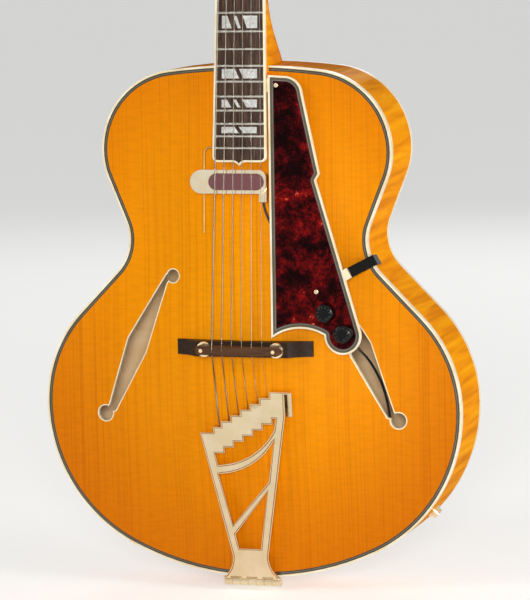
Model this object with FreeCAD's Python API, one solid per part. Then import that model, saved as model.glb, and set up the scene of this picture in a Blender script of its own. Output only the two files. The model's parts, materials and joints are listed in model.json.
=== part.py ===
import FreeCAD
import Part
import math
import os

V = FreeCAD.Vector

# Archtop guitar, standing upright: +Z runs up the neck, -Y is the front, +X the treble side.
# The origin is the middle of the strap groove of the end button, under the butt of the body.
# All sizes are millimetres and degrees.

# Body
BODY_LENGTH = 538.0
LOWER_WIDTH = 453.0
WAIST_WIDTH = 259.0
UPPER_WIDTH = 314.0
LOWER_AT = BODY_LENGTH * 0.3346
WAIST_AT = BODY_LENGTH * 0.6636
UPPER_AT = BODY_LENGTH * 0.8336
BUTT_CORNER_R = LOWER_AT * 0.922
SHOULDER_R = (BODY_LENGTH - UPPER_AT) * 0.95
LOWER_BOUT_SHARE = 0.667
WAIST_LOW_SHARE = 0.238
UPPER_BOUT_SHARE = 0.452
WAIST_HIGH_SHARE = 0.271
RIM_DEPTH = 85.0
PLATE_T = 5.0
TOP_ARCH = 18.0
BACK_ARCH = 17.0
EDGE_FLAT = 12.0
ARCH_RAMP = 190.0
ARCH_GRID = 12.0
RIB_T = 2.5
BINDING_W = 2.2
BINDING_H = 6.5
PURFLING_W = 3.4
PURFLING_H = 1.5
LINING_W = 7.0
LINING_H = 16.0
BLOCK_LENGTH = 52.0
NECK_BLOCK_W = 84.0
TAIL_BLOCK_W = 96.0
TAIL_BLOCK_LENGTH = 34.0
BAR_W = 8.0
BAR_H = 13.0
BAR_LOW = (48.0, BODY_LENGTH * 0.177)
BAR_HIGH = (36.0, BODY_LENGTH * 0.846)

# Sound holes: distance from the centre line, height above the bridge line
BRIDGE_LINE = BODY_LENGTH - 291.0
HOLE_TOP_EYE = (80.0, 73.5)
HOLE_TOP_EYE_R = 6.8
HOLE_LOW_EYE = (160.0, -74.0)
HOLE_LOW_EYE_R = 8.2
HOLE_OUTER_KNEE = (132.0, 7.0)
HOLE_INNER_KNEE = (112.0, -7.5)
HOLE_TOP_OUTER = (87.6, 75.0)
HOLE_TOP_INNER = (87.0, 66.5)
HOLE_LOW_OUTER = (155.0, -64.0)
HOLE_LOW_INNER = (148.5, -71.0)
HOLE_BINDING = 1.1
HOLE_DROP = 2.0

# Neck and fingerboard
SCALE = 647.7
BODY_FRET = 14
FRET_COUNT = 20
NECK_ANGLE = 5.2
BOARD_RISE = 13.5
BOARD_T = 6.0
BOARD_R = 305.0
BOARD_NUT_W = 44.0
BOARD_END_W = 58.0
BOARD_PAST_JOIN = 99.0
BOARD_POINT = 3.6
BOARD_CORNER_R = 6.0
BOARD_BINDING = 2.0
FRET_W = 2.5
FRET_H = 1.1
INLAY_T = 1.5
INLAY_W = 38.0
INLAY_GAP = 3.2
INLAY_SLANT = 4.8
NUT_T = 5.0
NUT_OVER = 2.4
NECK_DEPTH = 17.0
HEEL_GROWTH = 380.0
HEEL_LIMIT = 130.0
HEEL_FADE = 26.0
HEEL_CAP_T = 2.5
SECTION_POINTS = 12
HEEL_STEP = 12.0
HEEL_STATIONS = 17
TONGUE_T = 6.6
TONGUE_INSET = 1.5
TENON_W = 30.0
TENON_LENGTH = 24.0
TRUSS_R = 2.6
TRUSS_DEPTH = 12.5
TRUSS_NUT_R = 3.5
TRUSS_NUT_LENGTH = 9.0
TRUSS_ROD_R = 2.3
TRUSS_FOOT = 3.0
COVER_SCREWS = ((-8.0, 4.0), (8.0, 4.0), (0.0, 34.0))
TRUSS_POCKET_R = 5.2
TRUSS_POCKET_LENGTH = 28.0
COVER_T = 1.8
COVER_LENGTH = 37.0
COVER_LOW_W = 23.0
COVER_HIGH_W = 15.0

# Headstock
HEAD_ANGLE = 14.0
HEAD_T = 14.0
OVERLAY_T = 2.0
HEAD_LENGTH = 164.0
HEAD_NECK_W = 62.0
HEAD_TOP_W = 78.0
HEAD_FLARE = 30.0
HEAD_CROWN = 9.0
HEAD_CORNER_R = 11.0

# Tuning machines
POST_FIRST = 32.0
POST_PITCH = 40.0
POST_SIDE = 20.5
POST_SPLAY = 2.5
POST_R = 3.0
POST_OUT = 20.0
POST_HOLE_AT = 11.0
GEAR_TEETH = 18
GEAR_PITCH = 1.6
GEAR_T = 2.0
WORM_R = 2.3
WORM_TURNS = 4
THREAD_ADDENDUM = 0.5
THREAD_ROOT_GAP = 0.15
THREAD_W = 0.5
HOUSING_WALL = 1.6
HOUSING_DEPTH = 10.0
HOUSING_GAP = 0.4
HOUSING_INSIDE = 6.4
HOUSING_LUG_R = 4.0
SHAFT_R = 2.0
RUN_FIT = 0.05
BUTTON_LENGTH = 20.0
BUTTON_W = 15.0
BUTTON_T = 7.5
BUTTON_OFF = 6.0
BUTTON_SUNK = 4.0
BUSHING_R = 4.6
BUSHING_FLANGE_R = 7.0
BUSHING_FLANGE_T = 2.2

# Strings: diameters from bass to treble, spread over the six at the nut and at the bridge
STRING_D = (1.32, 1.07, 0.81, 0.61, 0.41, 0.30)
NUT_SPREAD = 36.5
SADDLE_SPREAD = 54.0
NUT_ACTION = 1.6
SADDLE_ACTION = 5.0
SADDLE_COMPENSATION = 5.0
SLOT_GAP = 0.12
BALL_R = 2.0

# Bridge
BRIDGE_LENGTH = 147.0
BRIDGE_W = 16.0
BRIDGE_TOP = 29.0
BRIDGE_WING_T = 4.5
BRIDGE_MID = 100.0
BRIDGE_HOLLOW_R = 16.0
BRIDGE_HOLLOW_DROP = 12.8
BRIDGE_POST_SPACING = 78.0
BRIDGE_POST_R = 2.0
POST_CLEARANCE = 0.3
WHEEL_R = 8.0
WHEEL_T = 3.5
WHEEL_GAP = 1.6
WHEEL_NOTCHES = 24
WHEEL_NOTCH_R = 0.7
SADDLE_LENGTH = 92.0
SADDLE_W = 9.0
SADDLE_LOBE_R = 5.0
SADDLE_CROWN = 1.2

# Tailpiece, in its own plane: distances from the hinge axis
TAIL_ANGLE = 7.0
HINGE_OUT = 4.6
HINGE_BELOW = 3.2
HINGE_LENGTH = 61.0
KNUCKLES = 7
KNUCKLE_R = 4.5
KNUCKLE_GAP = 0.25
HINGE_PIN_R = 2.0
TAIL_FRONT = 4.0
TAIL_T = 3.0
STEP_W = 10.8
STEP_H = 6.5
STEP_FIRST = 162.0
STAIR_BAND = 28.0
STAIR_LEFT = 47.0
STAIR_RIGHT = 46.0
FLANGE_DEPTH = 10.0
FLANGE_T = 1.8
FLANGE_PAST = 6.0
STRING_SLOT_W = 2.6
RAIL_W = 9.0
RAIL_FOOT = 19.5
RAIL_FOOT_AT = 28.5
BASE_WINDOW_AT = 36.5
ARC_LEFT_AT = 122.5
ARC_RIGHT_AT = 161.5
ARC_SAG = 10.0
ARC_W = 9.5
STRUT_LOW_AT = 56.5
STRUT_HIGH_AT = 105.5
STRUT_W = 9.0
BRACKET_T = 2.0
BRACKET_W = 44.0
BRACKET_LENGTH = 62.0

# Strap buttons
GROOVE_R = 3.6
GROOVE_LENGTH = 6.0
BUTTON_BASE_R = 6.5
BUTTON_BASE_T = 2.5
BUTTON_HEAD_R = 7.5
BUTTON_HEAD_T = 2.5
STRAP_SHANK_R = 2.2
STRAP_SHANK_LENGTH = 22.0
HEEL_SHANK_LENGTH = 18.0
HEEL_BUTTON_AT = 17.0

# Finger rest, in its own plane: distances from the point level with its top edge
GUARD_ANGLE = 3.8
GUARD_RISE = 12.0
GUARD_AT = BODY_LENGTH - 16.5
GUARD_T = 3.2
GUARD_BINDING = 6.0
GUARD_TOP_LEFT = (29.8, 6.8)
GUARD_TOP_RIGHT = (50.0, 5.6)
GUARD_SHOULDER = (62.0, -1.0)
GUARD_SIDE = (66.5, -12.0)
GUARD_NOTCH_OUT = (85.0, -94.4)
GUARD_NOTCH_IN = (81.1, -101.1)
GUARD_LOBE = (109.5, -260.0)
GUARD_LOBE_R = 19.5
GUARD_LOBE_TOP = (128.1, -254.3)
GUARD_BAY = (64.0, -253.5)
GUARD_LOW_LEFT = (33.2, -264.2)
KNOB_HIGH = (92.5, -236.7)
KNOB_LOW = (111.5, -257.8)
KNOB_R = 10.2
KNOB_H = 11.0
KNOB_OVER = 0.6
KNOB_SHAFT_R = 3.0
POT_R = 8.0
POT_H = 7.0
GUARD_SCREW_HIGH = (38.6, -3.6)
GUARD_SCREW_LOW = (81.5, -215.3)
SCREW_R = 1.3
SCREW_HEAD_R = 2.4
SCREW_HEAD_T = 1.2
SCREW_LENGTH = 9.0
ARM_W = 11.0
ARM_T = 2.4
ARM_FLAT = 41.0
ARM_RIM_GAP = 3.0
ARM_LEG = 15.5
ARM_DROP = 20.0
ARM_TURN = 30.0
BUMPER_R = 5.0

# Floating pickup, measured down the strings from the body join
PICKUP_TOP_AT = 107.0
PICKUP_W = 24.5
PICKUP_BASS_END = 53.0
PICKUP_TREBLE_END = 29.0
PICKUP_UNDER = 0.6
PICKUP_T = 10.0
PICKUP_CORNER_R = 8.0
PICKUP_TAB = 8.5
PICKUP_TAB_W = 8.0
WINDOW_LENGTH = 60.0
WINDOW_W = 17.5
WINDOW_FROM = 33.0
COIL_GAP = 0.2
COIL_SUNK = 0.4
PICKUP_ROD_R = 1.0
PICKUP_ROD_SIDE = 40.0
PICKUP_ROD_UNDER = 8.0
PICKUP_ROD_END = 172.0
PICKUP_ROD_ROOT = 84.0
PICKUP_TRAVEL = 28.0
PICKUP_ROD_BEND = 6.0
PICKUP_ROD_SUNK = 5.0
PICKUP_TAB_DROP = 3.0
PICKUP_FLOOR = 1.6

# Leads: distance from the centre line, rise in front of the rim, height above the bridge line
LEAD_R = 1.3
LEAD_BEND_R = 8.0
LEAD_RUN_IN = 20.0
LEAD_DROP = 7.5
LEAD_GAP = 0.6
PICKUP_LEAD_TURN = (17.0, 141.0)
PICKUP_LEAD_PATH = ((38.0, 15.6, 115.0), (58.0, 15.5, 83.0), (79.0, 17.0, 57.7), (87.7, 19.5, 44.8))
JACK_LEAD_PATH = ((119.0, 8.0, 0.0), (128.0, -12.0, -17.0), (140.0, -34.0, -57.0))

# Output jack in the treble rim
JACK_AT = 70.0
JACK_BORE_R = 3.3
JACK_BARREL_R = 5.8
JACK_FLANGE_R = 8.0
JACK_FLANGE_T = 2.6
JACK_OUT = 6.5
JACK_IN = 34.0
JACK_FLOOR = 3.0

# Places worked out from the sizes above
BUTT_Z = GROOVE_LENGTH / 2 + BUTTON_BASE_T + BRACKET_T
FRONT = -RIM_DEPTH / 2
BACK = RIM_DEPTH / 2
JOIN_Z = BUTT_Z + BODY_LENGTH
NUT_S = SCALE * (1 - 2 ** (-BODY_FRET / 12))
SADDLE_S = NUT_S - SCALE - SADDLE_COMPENSATION
HINGE_Y = FRONT - HINGE_OUT
HINGE_Z = BUTT_Z - HINGE_BELOW
GUARD_Z = BUTT_Z + GUARD_AT
GEAR_R = GEAR_TEETH * GEAR_PITCH / (2 * math.pi)
WORM_OFF = GEAR_R + WORM_R
STRING_COUNT = len(STRING_D)


def box(x0, x1, y0, y1, z0, z1):
    return Part.makeBox(x1 - x0, y1 - y0, z1 - z0, V(x0, y0, z0))


def rod(start, end, radius):
    return Part.makeCylinder(radius, (end - start).Length, start, end - start)


def arc(start, middle, end):
    return Part.Arc(start, middle, end).toShape()


def line(start, end):
    return Part.LineSegment(start, end).toShape()


def plan(point):
    return V(point[0], 0, point[1])


def polygon(points):
    corners = [plan(p) for p in points]
    return Part.makePolygon(corners + corners[:1])


def prism(wire, y0, y1):
    face = Part.Face(wire)
    face.translate(V(0, y0, 0))
    return face.extrude(V(0, y1 - y0, 0))


def tilted(shape, angle, y, z):
    copy = shape.copy()
    copy.rotate(V(0, 0, 0), V(1, 0, 0), angle)
    copy.translate(V(0, y, z))
    return copy


def on_neck(shape):
    return tilted(shape, -NECK_ANGLE, FRONT - BOARD_RISE, JOIN_Z)


def on_head(shape):
    return on_neck(tilted(shape, -HEAD_ANGLE, BOARD_T, NUT_S + NUT_T))


def on_tailpiece(shape):
    return tilted(shape, TAIL_ANGLE, HINGE_Y, HINGE_Z)


def on_guard(shape):
    return tilted(shape, -GUARD_ANGLE, FRONT - GUARD_RISE, GUARD_Z)


def fused(shapes):
    whole = shapes[0]
    if len(shapes) > 1:
        whole = shapes[0].multiFuse(shapes[1:])
    return whole.removeSplitter()


def solid_of(shape):
    solids = sorted(shape.Solids, key=lambda s: s.Volume)
    return solids[-1]


def save(name, shape):
    solids = shape.Solids
    shape = solids[0] if len(solids) == 1 else Part.makeCompound(solids)
    shape.exportStep("parts/" + name + ".step")
    print(name, len(solids), "solids", round(shape.Volume), "mm3", shape.isValid())


# Body outline: arcs that run into each other, from the butt up the treble side to the neck
def cap_radius(half, rise, corner):
    return (half * half + rise * rise - 2 * half * corner) / (2 * (rise - corner))


def bend(wide_x, wide_z, waist_x, waist_z, wide_share, waist_share):
    # The straight run that leaves a convex arc and enters the hollow arc of the waist. The two radii
    # are shares of the sum at which the arcs would touch each other.
    across, along = wide_x - waist_x, waist_z - wide_z
    most = (across * across + along * along) / (2 * across)
    wide_r, waist_r = wide_share * most, waist_share * most
    centre = V(wide_x - wide_r, 0, wide_z)
    hollow = V(waist_x + waist_r, 0, waist_z)
    across = hollow - centre
    lean = math.atan2(across.z, across.x)
    turn = math.acos((wide_r + waist_r) / across.Length)
    if across.z > 0:
        turn = -turn
    normal = V(math.cos(lean + turn), 0, math.sin(lean + turn))
    return centre, wide_r, hollow, waist_r, normal


def outline_parts():
    low, waist, up = LOWER_WIDTH / 2, WAIST_WIDTH / 2, UPPER_WIDTH / 2
    butt_r = cap_radius(low, LOWER_AT, BUTT_CORNER_R)
    top_r = cap_radius(up, BODY_LENGTH - UPPER_AT, SHOULDER_R)
    butt_c, corner_c = V(0, 0, butt_r), V(low - BUTT_CORNER_R, 0, LOWER_AT)
    top_c, shoulder_c = V(0, 0, BODY_LENGTH - top_r), V(up - SHOULDER_R, 0, UPPER_AT)
    butt_n = (corner_c - butt_c).normalize()
    top_n = (shoulder_c - top_c).normalize()
    low_c, low_r, low_h, dip_r, low_n = bend(
        low, LOWER_AT, waist, WAIST_AT, LOWER_BOUT_SHARE, WAIST_LOW_SHARE)
    up_c, up_r, up_h, rise_r, up_n = bend(
        up, UPPER_AT, waist, WAIST_AT, UPPER_BOUT_SHARE, WAIST_HIGH_SHARE)
    side = V(1, 0, 0)
    return [
        (butt_c, butt_r, V(0, 0, -1), butt_n),
        (corner_c, BUTT_CORNER_R, butt_n, side),
        (low_c, low_r, side, low_n),
        (low_h, -dip_r, low_n, side),
        (up_h, -rise_r, side, up_n),
        (up_c, up_r, up_n, side),
        (shoulder_c, SHOULDER_R, side, top_n),
        (top_c, top_r, top_n, V(0, 0, 1)),
    ]


OUTLINE = outline_parts()


def half_outline(inset):
    edges = []
    last = None
    for centre, radius, n0, n1 in OUTLINE:
        reach = radius - inset
        middle = (n0 + n1).normalize()
        points = [centre + n * reach for n in (n0, middle, n1)]
        if last is not None and (points[0] - last).Length > 1e-6:
            edges.append(("line", last, points[0]))
        edges.append(("arc", points[0], points[1], points[2]))
        last = points[2]
    return edges


def body_wire(inset):
    edges = []
    for item in half_outline(inset):
        left = [V(-p.x, 0, p.z) for p in item[1:]]
        make = arc if item[0] == "arc" else line
        edges.append(make(*item[1:]))
        edges.append(make(*left))
    wire = Part.Wire(Part.__sortEdges__(edges))
    wire.translate(V(0, 0, BUTT_Z))
    return wire


def half_width(height):
    for item in half_outline(0):
        low, high = item[1], item[-1]
        if low.z <= height <= high.z:
            if item[0] == "line":
                return low.x + (high.x - low.x) * (height - low.z) / (high.z - low.z)
    for centre, radius, n0, n1 in OUTLINE:
        z0, z1 = centre.z + radius * n0.z, centre.z + radius * n1.z
        if min(z0, z1) <= height <= max(z0, z1):
            reach = math.sqrt(max(radius * radius - (height - centre.z) ** 2, 0))
            return centre.x + math.copysign(reach, radius)
    return 0.0


def body_prism(inset, y0, y1):
    return prism(body_wire(inset), y0, y1)


def body_ring(outer, inner, y0, y1):
    return body_prism(outer, y0, y1).cut(body_prism(inner, y0, y1))


# Carved plates: a long arch that climbs from both ends, times a cross arch over the local width
def swell(share):
    share = min(max(share, 0.0), 1.0)
    return 0.5 - 0.5 * math.cos(math.pi * share)


def arch_height(x, height, crown):
    inside = min(height, BODY_LENGTH - height) - EDGE_FLAT
    reach = half_width(height) - EDGE_FLAT
    if inside <= 0 or reach <= 1:
        return 0.0
    return crown * swell(inside / ARCH_RAMP) * swell(1 - abs(x) / reach)


def arch_face(crown, y, side):
    across = math.ceil(LOWER_WIDTH / 2 / ARCH_GRID) + 1
    along = math.ceil(BODY_LENGTH / ARCH_GRID) + 1
    rows = []
    for i in range(-across, across + 1):
        row = []
        for j in range(-1, along + 1):
            x, height = i * ARCH_GRID, j * BODY_LENGTH / (along - 1)
            row.append(V(x, y + side * arch_height(x, height, crown), BUTT_Z + height))
        rows.append(row)
    surface = Part.BSplineSurface()
    surface.interpolate(rows)
    return surface.toShape()


TOP_INNER = arch_face(TOP_ARCH, FRONT + PLATE_T, -1)
BACK_INNER = arch_face(BACK_ARCH, BACK - PLATE_T, 1)
FAR = RIM_DEPTH + TOP_ARCH + BACK_ARCH
OVER_TOP = TOP_INNER.extrude(V(0, -FAR, 0))
TOP_SLAB = TOP_INNER.extrude(V(0, -PLATE_T, 0))
TOP_OUTER = arch_face(TOP_ARCH, FRONT, -1)
ABOVE_TOP = TOP_OUTER.extrude(V(0, -FAR, 0))
BACK_SLAB = BACK_INNER.extrude(V(0, PLATE_T, 0))
CAVITY = body_prism(RIB_T, FRONT - TOP_ARCH, BACK + BACK_ARCH).cut(OVER_TOP)
CAVITY = solid_of(CAVITY.cut(BACK_INNER.extrude(V(0, FAR, 0))))


def sound_hole(grow, side):
    corners = (HOLE_TOP_OUTER, HOLE_OUTER_KNEE, HOLE_LOW_OUTER, HOLE_LOW_EYE,
               HOLE_LOW_INNER, HOLE_INNER_KNEE, HOLE_TOP_INNER, HOLE_TOP_EYE, HOLE_TOP_OUTER)
    slot = Part.Face(Part.makePolygon([plan(c) for c in corners]))
    pieces = [slot]
    for eye, radius in ((HOLE_TOP_EYE, HOLE_TOP_EYE_R), (HOLE_LOW_EYE, HOLE_LOW_EYE_R)):
        pieces.append(Part.Face(Part.Wire(Part.Circle(plan(eye), V(0, 1, 0), radius).toShape())))
    face = fused(pieces).Faces[0]
    wire = face.OuterWire
    if grow > 0:
        wire = wire.makeOffset2D(grow)
    if side < 0:
        wire = wire.mirror(V(0, 0, 0), V(1, 0, 0))
    wire.translate(V(0, 0, BUTT_Z + BRIDGE_LINE - HOLE_DROP))
    return prism(wire, FRONT - FAR, FRONT + FAR)


def make_body():
    holes = [sound_hole(HOLE_BINDING, side) for side in (-1, 1)]
    open_holes = [sound_hole(0, side) for side in (-1, 1)]
    top = TOP_SLAB.common(body_prism(BINDING_W, FRONT - FAR, FRONT + FAR))
    purfling = body_ring(0, BINDING_W + PURFLING_W, FRONT, FRONT + PURFLING_H)
    rims = [top.common(hole).cut(gap) for hole, gap in zip(holes, open_holes)]
    save("f_hole_bindings", Part.makeCompound([solid_of(r) for r in rims]))
    ledge = body_ring(0, BINDING_W + PURFLING_W, FRONT - PLATE_T, FRONT + PURFLING_H)
    save("top_plate", solid_of(top.cut(Part.makeCompound(holes)).cut(ledge)))
    back = BACK_SLAB.common(body_prism(BINDING_W, BACK - FAR, BACK + FAR))
    save("back_plate", solid_of(back))
    save("top_binding", fused([body_ring(0, BINDING_W, FRONT, FRONT + BINDING_H), purfling]))
    save("back_binding", body_ring(0, BINDING_W, BACK - BINDING_H, BACK))
    rib = body_ring(0, RIB_T, FRONT + BINDING_H, BACK - BINDING_H)
    rib = rib.cut(TENON).cut(jack_barrel(0)).cut(END_SHANK).cut(BRACKET_SCREW_HOLES)
    wide = LOWER_WIDTH
    treble = box(0, wide, -wide, wide, -wide, JOIN_Z + wide)
    save("rib_treble", rib.common(treble))
    save("rib_bass", rib.cut(treble))
    blocks = [NECK_BLOCK.cut(TENON), TAIL_BLOCK.cut(END_SHANK).cut(BRACKET_SCREW_HOLES)]
    save("end_blocks", Part.makeCompound(blocks))
    front_lining = body_ring(RIB_T, RIB_T + LINING_W, FRONT - TOP_ARCH, FRONT + PLATE_T + LINING_H)
    back_lining = body_ring(RIB_T, RIB_T + LINING_W, BACK - PLATE_T - LINING_H, BACK + BACK_ARCH)
    linings = []
    for ring in (front_lining, back_lining):
        linings += ring.common(CAVITY).cut(Part.makeCompound([NECK_BLOCK, TAIL_BLOCK])).Solids
    save("linings", Part.makeCompound(linings))
    bar_zone = TOP_INNER.extrude(V(0, BAR_H, 0))
    bars = []
    for side in (-1, 1):
        (x0, z0), (x1, z1) = BAR_LOW, BAR_HIGH
        strip = [(x0 - BAR_W / 2, z0), (x0 + BAR_W / 2, z0), (x1 + BAR_W / 2, z1), (x1 - BAR_W / 2, z1)]
        wire = polygon([(side * x, z + BUTT_Z) for x, z in strip])
        bars.append(solid_of(bar_zone.common(prism(wire, FRONT - FAR, FRONT + FAR))))
    save("tone_bars", Part.makeCompound(bars))


NECK_BLOCK = solid_of(CAVITY.common(box(
    -NECK_BLOCK_W / 2, NECK_BLOCK_W / 2, -FAR, FAR, JOIN_Z - RIB_T - BLOCK_LENGTH, JOIN_Z)))
TAIL_BLOCK = solid_of(CAVITY.common(box(
    -TAIL_BLOCK_W / 2, TAIL_BLOCK_W / 2, -FAR, FAR, 0, BUTT_Z + RIB_T + TAIL_BLOCK_LENGTH)))
TENON = box(-TENON_W / 2, TENON_W / 2, FRONT + BINDING_H, BACK - BINDING_H,
            JOIN_Z - TENON_LENGTH, JOIN_Z + HEEL_CAP_T)
BRACKET_SCREWS_AT = (FRONT + 14.0, FRONT + BRACKET_LENGTH - 7.0)
BRACKET_SCREW_HOLES = Part.makeCompound([
    rod(V(0, y, -BUTT_Z), V(0, y, BUTT_Z - BRACKET_T + SCREW_LENGTH), SCREW_R) for y in BRACKET_SCREWS_AT])
END_SHANK = rod(V(0, 0, 0), V(0, 0, BUTT_Z + STRAP_SHANK_LENGTH), STRAP_SHANK_R)


# Fingerboard: tapered, with rounded corners and a small point at the end over the body
def board_half(s):
    share = (NUT_S - s) / (NUT_S + BOARD_PAST_JOIN)
    return (BOARD_NUT_W + (BOARD_END_W - BOARD_NUT_W) * share) / 2


def board_wire(inset):
    end = -BOARD_PAST_JOIN + inset
    half_end = board_half(end) - inset
    half_nut = board_half(NUT_S) - inset
    round_r = BOARD_CORNER_R - inset
    slope = math.sqrt(0.5) * round_r
    edges = [line(V(-half_nut, 0, NUT_S), V(half_nut, 0, NUT_S))]
    for side in (-1, 1):
        def at(x, s):
            return V(side * x, 0, s)
        corner = half_end - round_r
        edges.append(line(at(half_nut, NUT_S), at(half_end, end + round_r)))
        edges.append(arc(at(half_end, end + round_r),
                         at(corner + slope, end + round_r - slope), at(corner, end)))
        edges.append(line(at(corner, end), at(BOARD_CORNER_R, end)))
        edges.append(arc(at(BOARD_CORNER_R, end), at(BOARD_CORNER_R / 2, end - BOARD_POINT / 4),
                         at(0, end - BOARD_POINT)))
    return Part.Wire(Part.__sortEdges__(edges))


def fret_at(number):
    return NUT_S - SCALE * (1 - 2 ** (-number / 12))


BOARD_CURVE = Part.makeCylinder(BOARD_R, SCALE * 2, V(0, BOARD_R, -SCALE), V(0, 0, 1))


def inlay_shapes():
    shapes = []
    half = INLAY_W / 2
    for number, parts in ((3, 3), (5, 2), (7, 3), (9, 2), (12, 3), (15, 2), (17, 3), (19, 2)):
        high = fret_at(number - 1) - INLAY_GAP
        low = fret_at(number) + INLAY_GAP
        cuts = (-0.12, 0.12) if parts == 2 else (-0.56, -0.22, -0.04, 0.30)
        edges = [-half] + [c * half for c in cuts] + [half]
        for k in range(0, len(edges), 2):
            lean_left = INLAY_SLANT / 2 if k > 0 else 0.0
            lean_right = INLAY_SLANT / 2 if k + 2 < len(edges) else 0.0
            left, right = edges[k], edges[k + 1]
            wire = polygon([(left - lean_left, high), (right - lean_right, high),
                            (right + lean_right, low), (left + lean_left, low)])
            shapes.append(prism(wire, -1, BOARD_T))
    return Part.makeCompound(shapes)


def make_board():
    blank = prism(board_wire(0), -1, BOARD_T).common(BOARD_CURVE)
    wood = prism(board_wire(BOARD_BINDING), -1, BOARD_T).common(BOARD_CURVE)
    skin = Part.makeCylinder(BOARD_R - INLAY_T, SCALE * 2, V(0, BOARD_R, -SCALE), V(0, 0, 1))
    inlays = inlay_shapes().common(wood).cut(skin)
    save("fingerboard", on_neck(wood.cut(inlays)))
    save("fingerboard_binding", on_neck(blank.cut(wood)))
    save("position_inlays", on_neck(inlays))
    frets = []
    for number in range(1, FRET_COUNT + 1):
        s = fret_at(number)
        half = board_half(s) - BOARD_BINDING
        turn = math.degrees(math.asin(half / BOARD_R))
        crown = Part.Face(Part.Wire([
            arc(V(0, 0, s - FRET_W / 2), V(0, -FRET_H, s), V(0, 0, s + FRET_W / 2)),
            line(V(0, 0, s + FRET_W / 2), V(0, 0, s - FRET_W / 2))]))
        crown.rotate(V(0, BOARD_R, 0), V(0, 0, 1), -turn)
        frets.append(crown.revolve(V(0, BOARD_R, 0), V(0, 0, 1), 2 * turn))
    save("frets", on_neck(Part.makeCompound(frets)))


# Strings: each one lies over the nut and the saddle on the fingerboard's curve
def spread(index, width):
    return width * (index / (STRING_COUNT - 1) - 0.5)


def string_point(index, width, s, action):
    x = spread(index, width)
    return V(x, -action - STRING_D[index] / 2 + x * x / (2 * BOARD_R), s)


def neck_point(point):
    return on_neck(Part.Vertex(point)).Point


def head_point(point):
    return on_head(Part.Vertex(point)).Point


def tail_point(point):
    return on_tailpiece(Part.Vertex(point)).Point


def guard_point(point):
    return on_guard(Part.Vertex(point)).Point


def post_place(index):
    # Bass strings climb the bass side, treble strings climb the treble side
    side = -1 if index < STRING_COUNT // 2 else 1
    step = index if side < 0 else STRING_COUNT - 1 - index
    return side, V(side * (POST_SIDE + POST_SPLAY * step), 0, POST_FIRST + POST_PITCH * step)


NUT_POINTS = [neck_point(string_point(i, NUT_SPREAD, NUT_S, NUT_ACTION)) for i in range(STRING_COUNT)]
SADDLE_POINTS = [neck_point(string_point(i, SADDLE_SPREAD, SADDLE_S, SADDLE_ACTION))
                 for i in range(STRING_COUNT)]


def post_point(index):
    side, centre = post_place(index)
    inside = POST_R + SLOT_GAP + STRING_D[index] / 2
    return head_point(V(centre.x - side * inside, -POST_HOLE_AT, centre.z))


def ball_point(index):
    x = (index - (STRING_COUNT - 1) / 2) * STEP_W
    top = STEP_FIRST + STEP_H * (index + 1)
    return tail_point(V(x, 1.5, top - FLANGE_T - BALL_R - 0.4))


def string_runs(index, extra):
    radius = STRING_D[index] / 2 + extra
    return fused([
        rod(NUT_POINTS[index], post_point(index), radius),
        Part.makeSphere(radius, NUT_POINTS[index]),
        rod(SADDLE_POINTS[index], NUT_POINTS[index], radius)])


def tail_run(index, extra):
    radius = STRING_D[index] / 2 + extra
    start, end = SADDLE_POINTS[index], ball_point(index)
    along = (end - start).normalize()
    return rod(start + along * (STRING_D[index] / 2), end - along * BALL_R, radius)


def make_strings():
    save("strings", Part.makeCompound([string_runs(i, 0) for i in range(STRING_COUNT)]))
    save("string_tails", Part.makeCompound([tail_run(i, 0) for i in range(STRING_COUNT)]))
    save("string_ball_ends", Part.makeCompound(
        [Part.makeSphere(BALL_R, ball_point(i)) for i in range(STRING_COUNT)]))
    nut = box(-BOARD_NUT_W / 2, BOARD_NUT_W / 2, -NUT_OVER, BOARD_T, NUT_S, NUT_S + NUT_T)
    crown = Part.makeCylinder(BOARD_R, NUT_T, V(0, BOARD_R - NUT_OVER, NUT_S), V(0, 0, 1))
    nut = on_neck(nut.common(crown))
    slots = Part.makeCompound([string_runs(i, SLOT_GAP) for i in range(STRING_COUNT)])
    save("nut", nut.cut(slots))


# The tongue of the neck under the board, and everything on its bass side of the treble edge
def tongue_edge(side, s):
    return side * (board_half(s) - TONGUE_INSET)


TONGUE_LOW = BOARD_CORNER_R - BOARD_PAST_JOIN
TONGUE = prism(polygon([
    (tongue_edge(-1, 0), 1), (tongue_edge(1, 0), 1),
    (tongue_edge(1, TONGUE_LOW), TONGUE_LOW), (tongue_edge(-1, TONGUE_LOW), TONGUE_LOW)]),
    BOARD_T, BOARD_T + TONGUE_T)
TONGUE_SIDE = prism(polygon([
    (-FAR, NUT_S), (tongue_edge(1, NUT_S), NUT_S), (tongue_edge(1, -NUT_S), -NUT_S), (-FAR, -NUT_S)]),
    -FAR, FAR)


HEEL_BUTTON = V(0, BOARD_RISE + RIM_DEPTH, HEEL_BUTTON_AT)
HEEL_SHANK = on_neck(rod(HEEL_BUTTON, HEEL_BUTTON - V(0, HEEL_SHANK_LENGTH, 0), STRAP_SHANK_R))


# Neck: half ellipses that deepen into the heel, a tongue under the board, a tenon and the head
def neck_section(s):
    depth = NECK_DEPTH + HEEL_GROWTH * math.exp(-s / HEEL_FADE)
    depth = HEEL_LIMIT * (1 - math.exp(-depth / HEEL_LIMIT))
    half = board_half(s)
    points = []
    for k in range(SECTION_POINTS + 1):
        turn = math.pi * k / SECTION_POINTS
        points.append(V(half * math.cos(turn), BOARD_T + depth * math.sin(turn), s))
    curve = Part.BSplineCurve()
    curve.interpolate(points)
    return Part.Wire([curve.toShape(), line(points[-1], points[0])])


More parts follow.
